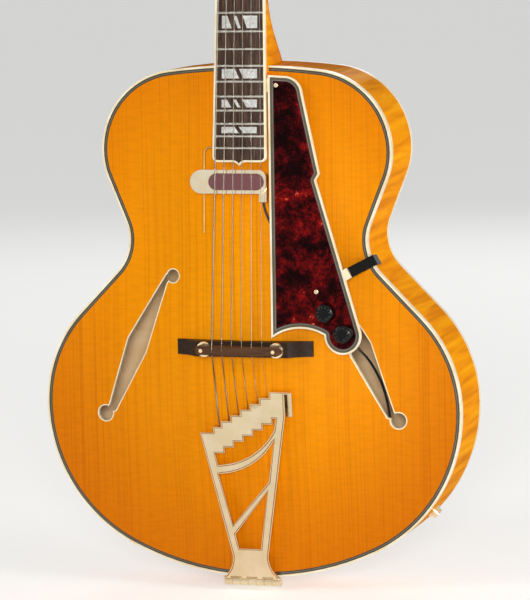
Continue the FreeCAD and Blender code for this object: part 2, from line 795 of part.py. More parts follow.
def head_wire(inset):
    half_neck = HEAD_NECK_W / 2 - inset
    half_top = HEAD_TOP_W / 2 - inset
    half_nut = BOARD_NUT_W / 2 - inset
    top = HEAD_LENGTH - inset
    shoulder = top - HEAD_CROWN
    edges = [line(V(-half_nut, 0, 0), V(half_nut, 0, 0))]
    corner = HEAD_CORNER_R - inset
    bow = math.sqrt(0.5) * corner
    for side in (-1, 1):
        def at(x, z):
            return V(side * x, 0, z)
        edges.append(arc(at(half_nut, 0), at((half_nut + half_neck) / 2 - 2, HEAD_FLARE * 0.62),
                         at(half_neck, HEAD_FLARE)))
        edges.append(line(at(half_neck, HEAD_FLARE), at(half_top, shoulder - corner)))
        bow_start = at(half_top, shoulder - corner)
        bow_middle = at(half_top - corner + bow, shoulder - corner + bow)
        edges.append(arc(bow_start, bow_middle, at(half_top - corner, shoulder)))
    edges.append(arc(V(corner - half_top, 0, shoulder), V(0, 0, top), V(half_top - corner, 0, shoulder)))
    return Part.Wire(Part.__sortEdges__(edges))


def make_neck():
    stations = [HEEL_STEP * (k - 0.5) for k in range(HEEL_STATIONS)]
    flare = Part.makeLoft([neck_section(s) for s in stations], True, False)
    grip = Part.makeLoft([neck_section(s) for s in (stations[-1], NUT_S + NUT_T + HEEL_STEP)], True, True)
    horn = flare.fuse(grip)
    cap_plane = BOARD_RISE + RIM_DEPTH
    below = box(-FAR, FAR, cap_plane - HEEL_CAP_T, cap_plane + FAR * 3, -FAR, NUT_S)
    deep = box(-FAR, FAR, cap_plane, cap_plane + FAR * 3, -FAR, NUT_S)
    head = on_head(prism(head_wire(0), OVERLAY_T, OVERLAY_T + HEAD_T))
    behind = on_head(box(-FAR, FAR, -FAR, OVERLAY_T, 0, HEAD_LENGTH))
    body = body_prism(0, FRONT, BACK + FAR)
    shaft = on_neck(horn).cut(body).cut(behind)
    cap = shaft.common(on_neck(below)).cut(on_neck(deep))
    heel = shaft.cut(on_neck(below))
    holes = []
    for i in range(STRING_COUNT):
        holes.append(tuner_place(i, rod(V(0, 0, -1), V(0, 0, HEAD_T + OVERLAY_T + 1), BUSHING_R)))
    drill = Part.makeCompound(holes)
    pilots = [on_head(rod(V(x, -1, z), V(x, SCREW_LENGTH - COVER_T, z), SCREW_R)) for x, z in COVER_SCREWS]
    housing, lug_y = make_housing()
    for i in range(STRING_COUNT):
        pilot = rod(V(0, lug_y, -1), V(0, lug_y, SCREW_LENGTH - HOUSING_WALL), SCREW_R)
        pilots.append(tuner_place(i, pilot))
    pilots = Part.makeCompound(pilots)
    truss = on_neck(Part.makeCompound([TRUSS_BORE, TRUSS_POCKET]))
    tenon = TENON.common(body_prism(0, FRONT, BACK))
    neck = fused([solid_of(heel), on_neck(TONGUE).cut(TOP_SLAB), head, tenon])
    neck = neck.cut(drill).cut(truss).cut(pilots).cut(HEEL_SHANK).cut(PICKUP_ROD)
    save("neck", solid_of(neck))
    save("heel_cap", solid_of(cap.cut(HEEL_SHANK)))
    overlay = on_head(prism(head_wire(0), 0, OVERLAY_T))
    save("headstock_overlay", solid_of(overlay.cut(drill).cut(truss).cut(pilots)))


TRUSS_END = NUT_S + NUT_T
TRUSS_BORE = rod(V(0, TRUSS_DEPTH, 0), V(0, TRUSS_DEPTH, TRUSS_END), TRUSS_R)
TRUSS_POCKET = Part.makeCylinder(TRUSS_POCKET_R, TRUSS_POCKET_LENGTH, V(0, TRUSS_DEPTH, TRUSS_END))


# Tuning machines: in their own frame the post stands on +Z, the key points along +X
def tuner_place(index, shape):
    side, centre = post_place(index)
    copy = shape.copy()
    if side < 0:
        copy.rotate(V(0, 0, 0), V(0, 0, 1), 180)
    copy.rotate(V(0, 0, 0), V(1, 0, 0), 90)
    copy.translate(V(centre.x, OVERLAY_T + HEAD_T, centre.z))
    return on_head(copy)


def make_gear():
    root = GEAR_R - THREAD_ADDENDUM - THREAD_ROOT_GAP
    tip = GEAR_R + THREAD_ADDENDUM - THREAD_ROOT_GAP
    half_root = THREAD_W / 2 + 0.12
    half_tip = THREAD_W / 2 - 0.06
    low = -HOUSING_DEPTH / 2 - GEAR_T / 2
    teeth = [Part.makeCylinder(root, GEAR_T, V(0, 0, low), V(0, 0, 1))]
    for k in range(GEAR_TEETH):
        corners = [V(-half_root, root - 0.3, low), V(half_root, root - 0.3, low),
                   V(half_tip, tip, low), V(-half_tip, tip, low)]
        tooth = Part.Face(Part.makePolygon(corners + corners[:1])).extrude(V(0, 0, GEAR_T))
        tooth.rotate(V(0, 0, 0), V(0, 0, 1), 360 * k / GEAR_TEETH)
        teeth.append(tooth)
    return fused(teeth)


def make_worm():
    root = WORM_R - THREAD_ADDENDUM
    crest = WORM_R + THREAD_ADDENDUM
    length = WORM_TURNS * GEAR_PITCH
    helix = Part.makeHelix(GEAR_PITCH, length, root)
    half_root = THREAD_W / 2 + 0.12
    half_tip = THREAD_W / 2 - 0.06
    sunk = root - 0.25
    corners = [V(sunk, 0, -half_root), V(sunk, 0, half_root), V(crest, 0, half_tip), V(crest, 0, -half_tip)]
    profile = Part.makePolygon(corners + corners[:1])
    thread = Part.Wire(helix).makePipeShell([profile], True, True)
    thread.translate(V(0, 0, -length / 2))
    reach = HOUSING_INSIDE + HOUSING_GAP
    inside = HOUSING_INSIDE - HOUSING_GAP
    core = Part.makeCylinder(root, 2 * inside, V(0, 0, -inside))
    shaft = Part.makeCylinder(SHAFT_R, BUTTON_AT - HOUSING_INSIDE + BUTTON_SUNK, V(0, 0, inside - 0.2))
    tail = Part.makeCylinder(root * 0.7, HOUSING_WALL, V(0, 0, -reach - 0.2))
    worm = fused([core, thread, shaft, tail])
    # A thread crest crosses the gear side half a pitch from the middle, so a tooth sits in the gap
    worm.rotate(V(0, 0, 0), V(0, 0, 1), 90 + 180 * (WORM_TURNS % 2))
    worm.rotate(V(0, 0, 0), V(0, 1, 0), 90)
    worm.translate(V(0, WORM_OFF, -HOUSING_DEPTH / 2))
    return solid_of(worm)


BUTTON_AT = HOUSING_INSIDE + HOUSING_WALL + BUTTON_OFF


def make_button():
    ellipse = Part.Ellipse(V(BUTTON_AT + BUTTON_LENGTH / 2, 0, 0), BUTTON_LENGTH / 2, BUTTON_W / 2)
    button = Part.Face(Part.Wire(ellipse.toShape())).extrude(V(0, 0, BUTTON_T))
    button.translate(V(0, WORM_OFF, -HOUSING_DEPTH / 2 - BUTTON_T / 2))
    return button.makeFillet(BUTTON_T * 0.4, button.Edges)


def make_housing():
    inner = HOUSING_INSIDE
    low = -(GEAR_R + THREAD_ADDENDUM + HOUSING_GAP)
    high = WORM_OFF + WORM_R + THREAD_ADDENDUM + HOUSING_GAP
    wall = HOUSING_WALL
    shell = box(-inner - wall, inner + wall, low - wall, high + wall, -HOUSING_DEPTH, 0)
    shell = shell.makeFillet(wall, [e for e in shell.Edges if e.CenterOfMass.z < -wall])
    shell = shell.cut(box(-inner, inner, low, high, wall - HOUSING_DEPTH, 0))
    mid = -HOUSING_DEPTH / 2
    shell = shell.cut(rod(V(0, WORM_OFF, mid), V(inner + 2 * wall, WORM_OFF, mid), SHAFT_R + RUN_FIT))
    pivot = (WORM_R - THREAD_ADDENDUM) * 0.7 + RUN_FIT
    shell = shell.cut(rod(V(0, WORM_OFF, mid), V(-inner - 2 * wall, WORM_OFF, mid), pivot))
    lug_y = low - wall - HOUSING_LUG_R * 0.6
    lug = Part.makeCylinder(HOUSING_LUG_R, wall, V(0, lug_y, -wall))
    lug = lug.cut(rod(V(0, lug_y, -wall), V(0, lug_y, 0), SCREW_R))
    return fused([shell, lug.cut(box(-inner, inner, low, high, -HOUSING_DEPTH, 0))]), lug_y


def make_post():
    foot = HOUSING_WALL + HOUSING_GAP - HOUSING_DEPTH
    top = HEAD_T + OVERLAY_T + POST_OUT
    post = rod(V(0, 0, foot), V(0, 0, top), POST_R)
    post = post.makeFillet(1.0, [e for e in post.Edges if e.CenterOfMass.z > top - 0.1])
    hole = HEAD_T + OVERLAY_T + POST_HOLE_AT
    post = post.cut(rod(V(-2 * POST_R, 0, hole), V(2 * POST_R, 0, hole), 0.9))
    return fused([post, make_gear()])


def make_bushing():
    face = HEAD_T + OVERLAY_T
    sleeve = rod(V(0, 0, 1), V(0, 0, face), BUSHING_R)
    flange = rod(V(0, 0, face), V(0, 0, face + BUSHING_FLANGE_T), BUSHING_FLANGE_R)
    flange = flange.makeChamfer(0.8, [e for e in flange.Edges if e.CenterOfMass.z > face + 1])
    bore = rod(V(0, 0, 0), V(0, 0, face * 2), POST_R + RUN_FIT)
    return fused([sleeve, flange]).cut(bore)


def screw(length):
    # Its head rests on z = 0 and its shank points down -Z
    head = rod(V(0, 0, 0), V(0, 0, SCREW_HEAD_T), SCREW_HEAD_R)
    rim = [e for e in head.Edges if e.CenterOfMass.z > SCREW_HEAD_T / 2]
    head = head.makeFillet(SCREW_HEAD_T * 0.6, rim)
    slot = box(-SCREW_HEAD_R, SCREW_HEAD_R, -0.3, 0.3, SCREW_HEAD_T * 0.5, SCREW_HEAD_T * 2)
    return fused([head.cut(slot), rod(V(0, 0, -length), V(0, 0, 0), SCREW_R)])


def make_tuners():
    worm, button, post = make_worm(), make_button(), make_post()
    housing, lug_y = make_housing()
    button = button.cut(worm)
    fixing = screw(SCREW_LENGTH)
    fixing.rotate(V(0, 0, 0), V(1, 0, 0), 180)
    fixing.translate(V(0, lug_y, -HOUSING_WALL))
    for i in range(STRING_COUNT):
        save("tuner_key_%d" % (i + 1), tuner_place(i, Part.makeCompound([worm, button])))
        save("string_post_%d" % (i + 1), tuner_place(i, post))
        SCREWS.append(tuner_place(i, fixing))
    rows = range(STRING_COUNT)
    save("tuner_housings", Part.makeCompound([tuner_place(i, housing) for i in rows]))
    save("tuner_bushings", Part.makeCompound([tuner_place(i, make_bushing()) for i in rows]))


SCREWS = []


# Bridge: a foot carved to the top, two threaded posts, two wheels and the saddle bar
BRIDGE_Z = neck_point(V(0, 0, SADDLE_S)).z
BRIDGE_FACE = FRONT - BRIDGE_TOP
WHEEL_Y = BRIDGE_FACE - WHEEL_GAP - WHEEL_T
SADDLE_Y = WHEEL_Y


def make_bridge():
    half, mid, post_x = BRIDGE_LENGTH / 2, BRIDGE_MID / 2, BRIDGE_POST_SPACING / 2
    wing = BRIDGE_FACE + BRIDGE_TOP - TOP_ARCH * 0.62 - BRIDGE_WING_T
    edges = [line(V(-mid, BRIDGE_FACE, 0), V(mid, BRIDGE_FACE, 0))]
    for side in (-1, 1):
        start, end = V(side * mid, BRIDGE_FACE, 0), V(side * half, wing, 0)
        bow = (start + end) * 0.5 + V(0, (wing - BRIDGE_FACE) * 0.2, 0)
        edges.append(arc(start, bow, end))
        edges.append(line(end, V(side * half, FRONT, 0)))
    edges.append(line(V(-half, FRONT, 0), V(half, FRONT, 0)))
    face = Part.Face(Part.Wire(Part.__sortEdges__(edges)))
    face.translate(V(0, 0, BRIDGE_Z - BRIDGE_W / 2))
    base = face.extrude(V(0, 0, BRIDGE_W))
    base = solid_of(base.common(ABOVE_TOP))
    hollow = V(0, FRONT - TOP_ARCH + BRIDGE_HOLLOW_DROP, BRIDGE_Z - BRIDGE_W)
    base = base.cut(Part.makeCylinder(BRIDGE_HOLLOW_R, BRIDGE_W * 2, hollow))
    posts, wheels = [], []
    for side in (-1, 1):
        foot = V(side * post_x, BRIDGE_FACE + 8, BRIDGE_Z)
        posts.append(rod(foot, V(side * post_x, SADDLE_Y - SADDLE_RISE + 1.5, BRIDGE_Z), BRIDGE_POST_R))
        wheel = Part.makeCylinder(WHEEL_R, WHEEL_T, V(side * post_x, WHEEL_Y, BRIDGE_Z), V(0, 1, 0))
        edge = V(side * post_x + WHEEL_R + WHEEL_NOTCH_R * 0.4, WHEEL_Y - 1, BRIDGE_Z)
        notch = Part.makeCylinder(WHEEL_NOTCH_R, WHEEL_T * 2, edge, V(0, 1, 0))
        notches = []
        for k in range(WHEEL_NOTCHES):
            copy = notch.copy()
            copy.rotate(V(side * post_x, 0, BRIDGE_Z), V(0, 1, 0), 360 * k / WHEEL_NOTCHES)
            notches.append(copy)
        bore = rod(foot, foot - V(0, FAR, 0), BRIDGE_POST_R + RUN_FIT)
        wheels.append(wheel.cut(Part.makeCompound(notches)).cut(bore))
    save("bridge_base", solid_of(base.cut(Part.makeCompound(posts))))
    save("bridge_posts", Part.makeCompound(posts))
    save("thumbwheel_bass", wheels[0])
    save("thumbwheel_treble", wheels[1])
    half_w = SADDLE_W / 2
    bar = box(-post_x, post_x, SADDLE_Y - SADDLE_RISE, SADDLE_Y, BRIDGE_Z - half_w, BRIDGE_Z + half_w)
    lobe_x = SADDLE_LENGTH / 2 - SADDLE_LOBE_R
    lobe_feet = [V(s * lobe_x, SADDLE_Y, BRIDGE_Z) for s in (-1, 1)]
    lobes = [Part.makeCylinder(SADDLE_LOBE_R, SADDLE_RISE, foot, V(0, -1, 0)) for foot in lobe_feet]
    saddle = fused([bar] + lobes)
    ridge = SADDLE_POINTS[2].y - SADDLE_CROWN * 0.5
    crown = Part.makeCylinder(BOARD_R, BRIDGE_W * 2, V(0, ridge + BOARD_R, BRIDGE_Z - BRIDGE_W), V(0, 0, 1))
    saddle = saddle.common(crown)
    cuts = []
    for s in (-1, 1):
        start = V(s * post_x, SADDLE_Y + 1, BRIDGE_Z)
        cuts.append(rod(start, start - V(0, FAR, 0), BRIDGE_POST_R + POST_CLEARANCE))
    for i in range(STRING_COUNT):
        cuts.append(string_runs(i, SLOT_GAP))
        cuts.append(tail_run(i, SLOT_GAP))
        cuts.append(Part.makeSphere(STRING_D[i] / 2 + SLOT_GAP, SADDLE_POINTS[i]))
    save("bridge_saddle", solid_of(saddle.cut(Part.makeCompound(cuts))))


SADDLE_RISE = SADDLE_Y - SADDLE_POINTS[2].y + SADDLE_CROWN


# Tailpiece: a stair of six string seats on two rails, with a curved tie and a slanted strut
def rail_x(side, s):
    # Outer edge of a rail: straight from the stair down to the foot
    top_x = STAIR_LEFT if side < 0 else STAIR_RIGHT
    top_s = STEP_FIRST if side < 0 else STEP_FIRST + STEP_H * (STRING_COUNT - 3)
    share = (s - RAIL_FOOT_AT) / (top_s - RAIL_FOOT_AT)
    return side * (RAIL_FOOT + (top_x - RAIL_FOOT) * share)


def inner_x(side, s):
    return rail_x(side, s) - side * RAIL_W


def stair_x(k):
    return (k - STRING_COUNT / 2) * STEP_W


def tail_plate(wire):
    return prism(wire, -TAIL_FRONT, TAIL_T - TAIL_FRONT)


def tail_outline():
    points = [(rail_x(-1, STEP_FIRST), STEP_FIRST)]
    for k in range(STRING_COUNT + 1):
        points.append((stair_x(k), STEP_FIRST + STEP_H * k))
        points.append((stair_x(k), STEP_FIRST + STEP_H * (k + 1)))
    top = STEP_FIRST + STEP_H * (STRING_COUNT + 1)
    points.append((STAIR_RIGHT, top))
    points.append((STAIR_RIGHT, top - STAIR_BAND))
    points.append((rail_x(1, RAIL_FOOT_AT), RAIL_FOOT_AT))
    flare = HINGE_LENGTH / 2
    edges = [line(plan(a), plan(b)) for a, b in zip(points, points[1:])]
    foot_r = V(rail_x(1, RAIL_FOOT_AT), 0, RAIL_FOOT_AT)
    foot_l = V(-foot_r.x, 0, RAIL_FOOT_AT)
    low_r, low_l = V(flare, 0, KNUCKLE_R), V(-flare, 0, KNUCKLE_R)
    edges.append(arc(foot_r, V(RAIL_FOOT + 3.2, 0, RAIL_FOOT_AT * 0.5), low_r))
    edges.append(line(low_r, low_l))
    edges.append(arc(low_l, V(-RAIL_FOOT - 3.2, 0, RAIL_FOOT_AT * 0.5), foot_l))
    edges.append(line(foot_l, plan(points[0])))
    return Part.Wire(Part.__sortEdges__(edges))


def tie_arc(offset):
    start = V(inner_x(-1, ARC_LEFT_AT), 0, ARC_LEFT_AT + offset)
    end = V(inner_x(1, ARC_RIGHT_AT), 0, ARC_RIGHT_AT + offset)
    return start, (start + end) * 0.5 + V(2, 0, -ARC_SAG), end


def tail_windows():
    half = ARC_W / 2
    start, middle, end = tie_arc(half)
    points = []
    for k in range(STRING_COUNT):
        low = STEP_FIRST + STEP_H * (k + 1) - STAIR_BAND
        points.append((stair_x(k), low))
        points.append((stair_x(k + 1), low))
    low = STEP_FIRST + STEP_H * (STRING_COUNT + 1) - STAIR_BAND
    points.append((stair_x(STRING_COUNT), low))
    points.append((inner_x(1, low), low))
    edges = [line(plan(a), plan(b)) for a, b in zip(points, points[1:])]
    edges.append(line(plan(points[-1]), end))
    edges.append(arc(start, middle, end))
    edges.append(line(start, plan(points[0])))
    upper = Part.Wire(Part.__sortEdges__(edges))
    start, middle, end = tie_arc(-half)
    low_end = V(inner_x(1, STRUT_HIGH_AT + half), 0, STRUT_HIGH_AT + half)
    low_start = V(inner_x(-1, STRUT_LOW_AT + half), 0, STRUT_LOW_AT + half)
    middle_wire = Part.Wire(Part.__sortEdges__([
        arc(start, middle, end), line(end, low_end), line(low_end, low_start), line(low_start, start)]))
    drop = STRUT_W / 2
    lower = polygon([
        (inner_x(-1, STRUT_LOW_AT - drop), STRUT_LOW_AT - drop),
        (inner_x(1, STRUT_HIGH_AT - drop), STRUT_HIGH_AT - drop),
        (inner_x(1, BASE_WINDOW_AT), BASE_WINDOW_AT),
        (inner_x(-1, BASE_WINDOW_AT), BASE_WINDOW_AT)])
    return [upper, middle_wire, lower]


def knuckle(index, own):
    pitch = HINGE_LENGTH / KNUCKLES
    x0 = -HINGE_LENGTH / 2 + pitch * index + KNUCKLE_GAP / 2
    barrel = rod(V(x0, 0, 0), V(x0 + pitch - KNUCKLE_GAP, 0, 0), KNUCKLE_R)
    if own:
        barrel = fused([barrel, box(x0, x0 + pitch - KNUCKLE_GAP, -TAIL_FRONT, TAIL_T - TAIL_FRONT,
                                    0, KNUCKLE_R + 1)])
    return barrel


def make_tailpiece():
    plate = tail_plate(tail_outline())
    for wire in tail_windows():
        plate = plate.cut(tail_plate(wire))
    pieces = [plate]
    back = FLANGE_DEPTH - TAIL_FRONT
    for k in range(1, STRING_COUNT + 2):
        right = stair_x(k) if k <= STRING_COUNT else STAIR_RIGHT + FLANGE_PAST
        top = STEP_FIRST + STEP_H * k
        seat = box(stair_x(k - 1), right, -TAIL_FRONT, back, top - FLANGE_T, top)
        if k <= STRING_COUNT:
            middle = (stair_x(k - 1) + stair_x(k)) / 2
            seat = seat.cut(box(middle - STRING_SLOT_W / 2, middle + STRING_SLOT_W / 2, -0.8, back,
                                top - FLANGE_T * 2, top))
            riser = box(stair_x(k) - FLANGE_T, stair_x(k), -TAIL_FRONT, back, top - FLANGE_T, top + STEP_H)
            pieces.append(riser)
        pieces.append(seat)
    top = STEP_FIRST + STEP_H * (STRING_COUNT + 1)
    pieces.append(box(stair_x(STRING_COUNT), STAIR_RIGHT + FLANGE_PAST, back - FLANGE_T, back,
                      top - STAIR_BAND, top))
    pieces += [knuckle(k, True) for k in range(0, KNUCKLES, 2)]
    bore = rod(V(-HINGE_LENGTH, 0, 0), V(HINGE_LENGTH, 0, 0), HINGE_PIN_R + RUN_FIT)
    room = [rod(V(x, 0, 0), V(x + HINGE_LENGTH / KNUCKLES, 0, 0), KNUCKLE_R + KNUCKLE_GAP * 2)
            for x in [-HINGE_LENGTH / 2 + HINGE_LENGTH / KNUCKLES * k for k in range(1, KNUCKLES, 2)]]
    pieces[0] = pieces[0].cut(Part.makeCompound(room))
    save("tailpiece_frame", on_tailpiece(solid_of(fused(pieces).cut(bore))))
    pin = rod(V(-HINGE_LENGTH / 2, 0, 0), V(HINGE_LENGTH / 2, 0, 0), HINGE_PIN_R)
    save("hinge_pin", on_tailpiece(pin))
    strip = box(-BRACKET_W / 2, BRACKET_W / 2, FRONT + 1, FRONT + BRACKET_LENGTH, -BUTT_Z, BUTT_Z + 4)
    plate = body_prism(-BRACKET_T, FRONT, BACK).cut(body_prism(0, FRONT, BACK)).common(strip)
    parts = [plate]
    pitch = HINGE_LENGTH / KNUCKLES
    for k in range(1, KNUCKLES, 2):
        x0 = -HINGE_LENGTH / 2 + pitch * k + KNUCKLE_GAP / 2
        x1 = x0 + pitch - KNUCKLE_GAP
        parts.append(tilted(knuckle(k, False), 0, HINGE_Y, HINGE_Z))
        parts.append(box(x0, x1, HINGE_Y, FRONT + BRACKET_T + 3, BUTT_Z - BRACKET_T - 1.6, BUTT_Z))
    bracket = fused(parts).cut(body_prism(0, FRONT, BACK)).cut(tilted(pin, 0, HINGE_Y, HINGE_Z))
    bracket = bracket.cut(END_SHANK).cut(BRACKET_SCREW_HOLES)
    save("tailpiece_bracket", solid_of(bracket))




def strap_button():
    # Its base rests on z = 0 and its head points down -Z
    base = Part.makeCylinder(BUTTON_BASE_R, BUTTON_BASE_T, V(0, 0, -BUTTON_BASE_T))
    groove = Part.makeCylinder(GROOVE_R, GROOVE_LENGTH, V(0, 0, -BUTTON_BASE_T - GROOVE_LENGTH))
    low = -BUTTON_BASE_T - GROOVE_LENGTH - BUTTON_HEAD_T
    head = Part.makeCylinder(BUTTON_HEAD_R, BUTTON_HEAD_T, V(0, 0, low))
    rims = [e for e in head.Edges if e.Length > 2 * math.pi * BUTTON_HEAD_R - 0.01]
    head = head.makeFillet(BUTTON_HEAD_T * 0.45, rims)
    return fused([base, groove, head])


def make_buttons():
    end = strap_button()
    end.translate(V(0, 0, BUTT_Z - BRACKET_T))
    shank = rod(V(0, 0, BUTT_Z - BRACKET_T), V(0, 0, BUTT_Z + STRAP_SHANK_LENGTH), STRAP_SHANK_R)
    end = fused([end, shank])
    pin = strap_button()
    pin = fused([pin, rod(V(0, 0, 0), V(0, 0, HEEL_SHANK_LENGTH), STRAP_SHANK_R)])
    pin.rotate(V(0, 0, 0), V(1, 0, 0), 90)
    pin.translate(HEEL_BUTTON)
    save("strap_buttons", Part.makeCompound([end, on_neck(pin)]))
    for y in BRACKET_SCREWS_AT:
        fixing = screw(SCREW_LENGTH)
        fixing.rotate(V(0, 0, 0), V(1, 0, 0), 180)
        fixing.translate(V(0, y, BUTT_Z - BRACKET_T))
        SCREWS.append(fixing)


# Finger rest: a bound plate on a neck block and a bracket to the rim
def guard_wire(inset):
    lobe = plan(GUARD_LOBE)
    start = lobe + (plan(GUARD_LOBE_TOP) - lobe).normalize() * GUARD_LOBE_R
    left = lobe + V(-GUARD_LOBE_R, 0, 0)
    low = lobe + V(0.35, 0, -0.94) * GUARD_LOBE_R
    corner = [plan(p) for p in (GUARD_TOP_LEFT, GUARD_TOP_RIGHT, GUARD_SHOULDER, GUARD_SIDE)]
    notch = [plan(p) for p in (GUARD_NOTCH_OUT, GUARD_NOTCH_IN)]
    bay, low_left = plan(GUARD_BAY), plan(GUARD_LOW_LEFT)
    wire = Part.Wire(Part.__sortEdges__([
        line(corner[0], corner[1]), arc(corner[1], corner[2], corner[3]), line(corner[3], notch[0]),
        line(notch[0], notch[1]), line(notch[1], start), arc(start, low, left),
        arc(left, bay, low_left), line(low_left, corner[0])]))
    if inset > 0:
        wire = wire.makeOffset2D(-inset)
    return wire


def guard_drill(place, radius):
    return rod(V(place[0], -GUARD_T, place[1]), V(place[0], GUARD_T * 3, place[1]), radius)


def make_guard():
    drill = [guard_drill(p, KNOB_SHAFT_R + 0.3) for p in (KNOB_HIGH, KNOB_LOW)]
    drill += [guard_drill(p, SCREW_R) for p in (GUARD_SCREW_HIGH, GUARD_SCREW_LOW)]
    inner = prism(guard_wire(GUARD_BINDING), 0, GUARD_T)
    save("pickguard", on_guard(solid_of(inner.cut(Part.makeCompound(drill)))))
    save("pickguard_binding", on_guard(prism(guard_wire(0), 0, GUARD_T).cut(inner)))
    for place in (GUARD_SCREW_HIGH, GUARD_SCREW_LOW):
        fixing = screw(GUARD_T + ARM_T)
        fixing.rotate(V(0, 0, 0), V(1, 0, 0), 90)
        fixing.translate(plan(place))
        SCREWS.append(on_guard(fixing))
    knobs = []
    for place in (KNOB_HIGH, KNOB_LOW):
        barrel = Part.makeCone(KNOB_R, KNOB_R * 0.9, KNOB_H, V(0, -KNOB_OVER, 0), V(0, -1, 0))
        rim = [e for e in barrel.Edges if e.CenterOfMass.y < -KNOB_H * 0.9 and len(e.Vertexes) == 1]
        barrel = barrel.makeFillet(2.2, rim)
        shaft = rod(V(0, -KNOB_OVER - 1, 0), V(0, GUARD_T + POT_H - 2, 0), KNOB_SHAFT_R)
        knob = fused([barrel, shaft])
        knob.translate(plan(place))
        knobs.append(on_guard(knob))
    save("volume_knob", knobs[0])
    save("tone_knob", knobs[1])
    pots = []
    for place in (KNOB_HIGH, KNOB_LOW):
        can = rod(V(0, GUARD_T, 0), V(0, GUARD_T + POT_H, 0), POT_R)
        can = can.cut(rod(V(0, 0, 0), V(0, GUARD_T + POT_H - 1.5, 0), KNOB_SHAFT_R + RUN_FIT))
        can.translate(plan(place))
        pots.append(on_guard(can))
    save("potentiometers", Part.makeCompound(pots))
    make_bracket()


def rim_distance():
    # How far along the arm its centre line crosses the edge of the body
    lean = math.radians(ARM_TURN)
    near, far = 0.0, LOWER_WIDTH
    while far - near > 0.01:
        middle = (near + far) / 2
        x = GUARD_SCREW_LOW[0] + middle * math.cos(lean)
        height = GUARD_AT + GUARD_SCREW_LOW[1] + middle * math.sin(lean)
        if x < half_width(height):
            near = middle
        else:
            far = middle
    return near


def make_bracket():
    # The arm runs along +X from the screw before it is turned up towards the rim
    flat_end = ARM_FLAT
    slope_end = rim_distance() + ARM_RIM_GAP + ARM_T
    top = GUARD_T
    corners = [(-ARM_W / 2, top), (flat_end, top), (slope_end, ARM_DROP), (slope_end, ARM_DROP + ARM_LEG),
               (slope_end - ARM_T, ARM_DROP + ARM_LEG), (slope_end - ARM_T, ARM_DROP + ARM_T * 0.6),
               (flat_end - ARM_T * 0.4, top + ARM_T), (-ARM_W / 2, top + ARM_T)]
    face = Part.Face(Part.makePolygon([V(x, y, -ARM_W / 2) for x, y in corners + corners[:1]]))
    arm = face.extrude(V(0, 0, ARM_W))
    arm = arm.cut(rod(V(0, 0, 0), V(0, GUARD_T * 4, 0), SCREW_R))
    block = box(flat_end - 10.5, flat_end - 1, -1, top, -ARM_W / 2, ARM_W / 2)
    bumper = rod(V(slope_end - ARM_T, ARM_DROP + ARM_LEG - BUMPER_R, 0),
                 V(slope_end - ARM_T - ARM_RIM_GAP * 2, ARM_DROP + ARM_LEG - BUMPER_R, 0), BUMPER_R)
    placed = []
    for shape in (arm, block, bumper):
        shape.rotate(V(0, 0, 0), V(0, 1, 0), -ARM_TURN)
        shape.translate(plan(GUARD_SCREW_LOW))
        placed.append(on_guard(shape))
    guard_solid = on_guard(prism(guard_wire(0), -GUARD_T, GUARD_T))
    save("guard_bracket_arm", placed[0])
    rest_block = box(0, GUARD_SCREW_HIGH[0] + 5, GUARD_T, GUARD_T + 6.5,
                     GUARD_SCREW_HIGH[1] - 7, GUARD_SCREW_HIGH[1] + 7)
    rest_block = rest_block.cut(guard_drill(GUARD_SCREW_HIGH, SCREW_R))
    rest_block = on_guard(rest_block).cut(on_neck(TONGUE_SIDE))
    arm_block = solid_of(placed[1].cut(guard_solid))
    save("guard_blocks", Part.makeCompound([arm_block, solid_of(rest_block.cut(TOP_SLAB))]))
    save("bracket_bumper", solid_of(placed[2].cut(body_prism(0, FRONT - FAR, BACK))))



# Cords and bent rods: straight runs joined by tangent arcs
def bent_wire(points, bend_r):
    edges = []
    last = points[0]
    for before, corner, after in zip(points, points[1:], points[2:]):
        into, out = (corner - before).normalize(), (after - corner).normalize()
        half = math.acos(max(-1.0, min(1.0, into.dot(out)))) / 2
        reach = bend_r * math.tan(half)
        inward = (out - into).normalize()
        middle = corner + inward * (bend_r / math.cos(half) - bend_r)
        start, end = corner - into * reach, corner + out * reach
        edges.append(line(last, start))
        edges.append(arc(start, middle, end))
        last = end
    edges.append(line(last, points[-1]))
    return Part.Wire(edges)


def bent_rod(points, bend_r, radius):
    wire = bent_wire(points, bend_r)
    along = points[1] - points[0]
    profile = Part.Wire(Part.Circle(points[0], along, radius).toShape())
    return wire.makePipeShell([profile], True, False)


# Floating pickup: a shell that slides on a bent rod, with the coil set in its window
def pickup_wire():
    high, low = -PICKUP_TOP_AT, -PICKUP_TOP_AT - PICKUP_W
    middle, half = (high + low) / 2, PICKUP_W / 2
    left, right, round_r = half - PICKUP_BASS_END, PICKUP_TREBLE_END, PICKUP_CORNER_R
    slope = math.sqrt(0.5) * round_r
    corner = right - round_r
    return Part.Wire(Part.__sortEdges__([
        arc(V(left, 0, high), V(left - half, 0, middle), V(left, 0, low)),
        line(V(left, 0, high), V(corner, 0, high)),
        arc(V(corner, 0, high), V(corner + slope, 0, high - round_r + slope), V(right, 0, high - round_r)),
        line(V(right, 0, high - round_r), V(right, 0, low + round_r)),
        arc(V(right, 0, low + round_r), V(corner + slope, 0, low + round_r - slope), V(corner, 0, low)),
        line(V(corner, 0, low), V(left, 0, low))]))


def stadium(x0, length, width, y0, y1):
    middle = -PICKUP_TOP_AT - PICKUP_W / 2
    radius = width / 2
    left, right = V(x0 + radius, y0, middle), V(x0 + length - radius, y0, middle)
    ends = [Part.makeCylinder(radius, y1 - y0, c, V(0, 1, 0)) for c in (left, right)]
    return fused([box(left.x, right.x, y0, y1, middle - radius, middle + radius)] + ends)


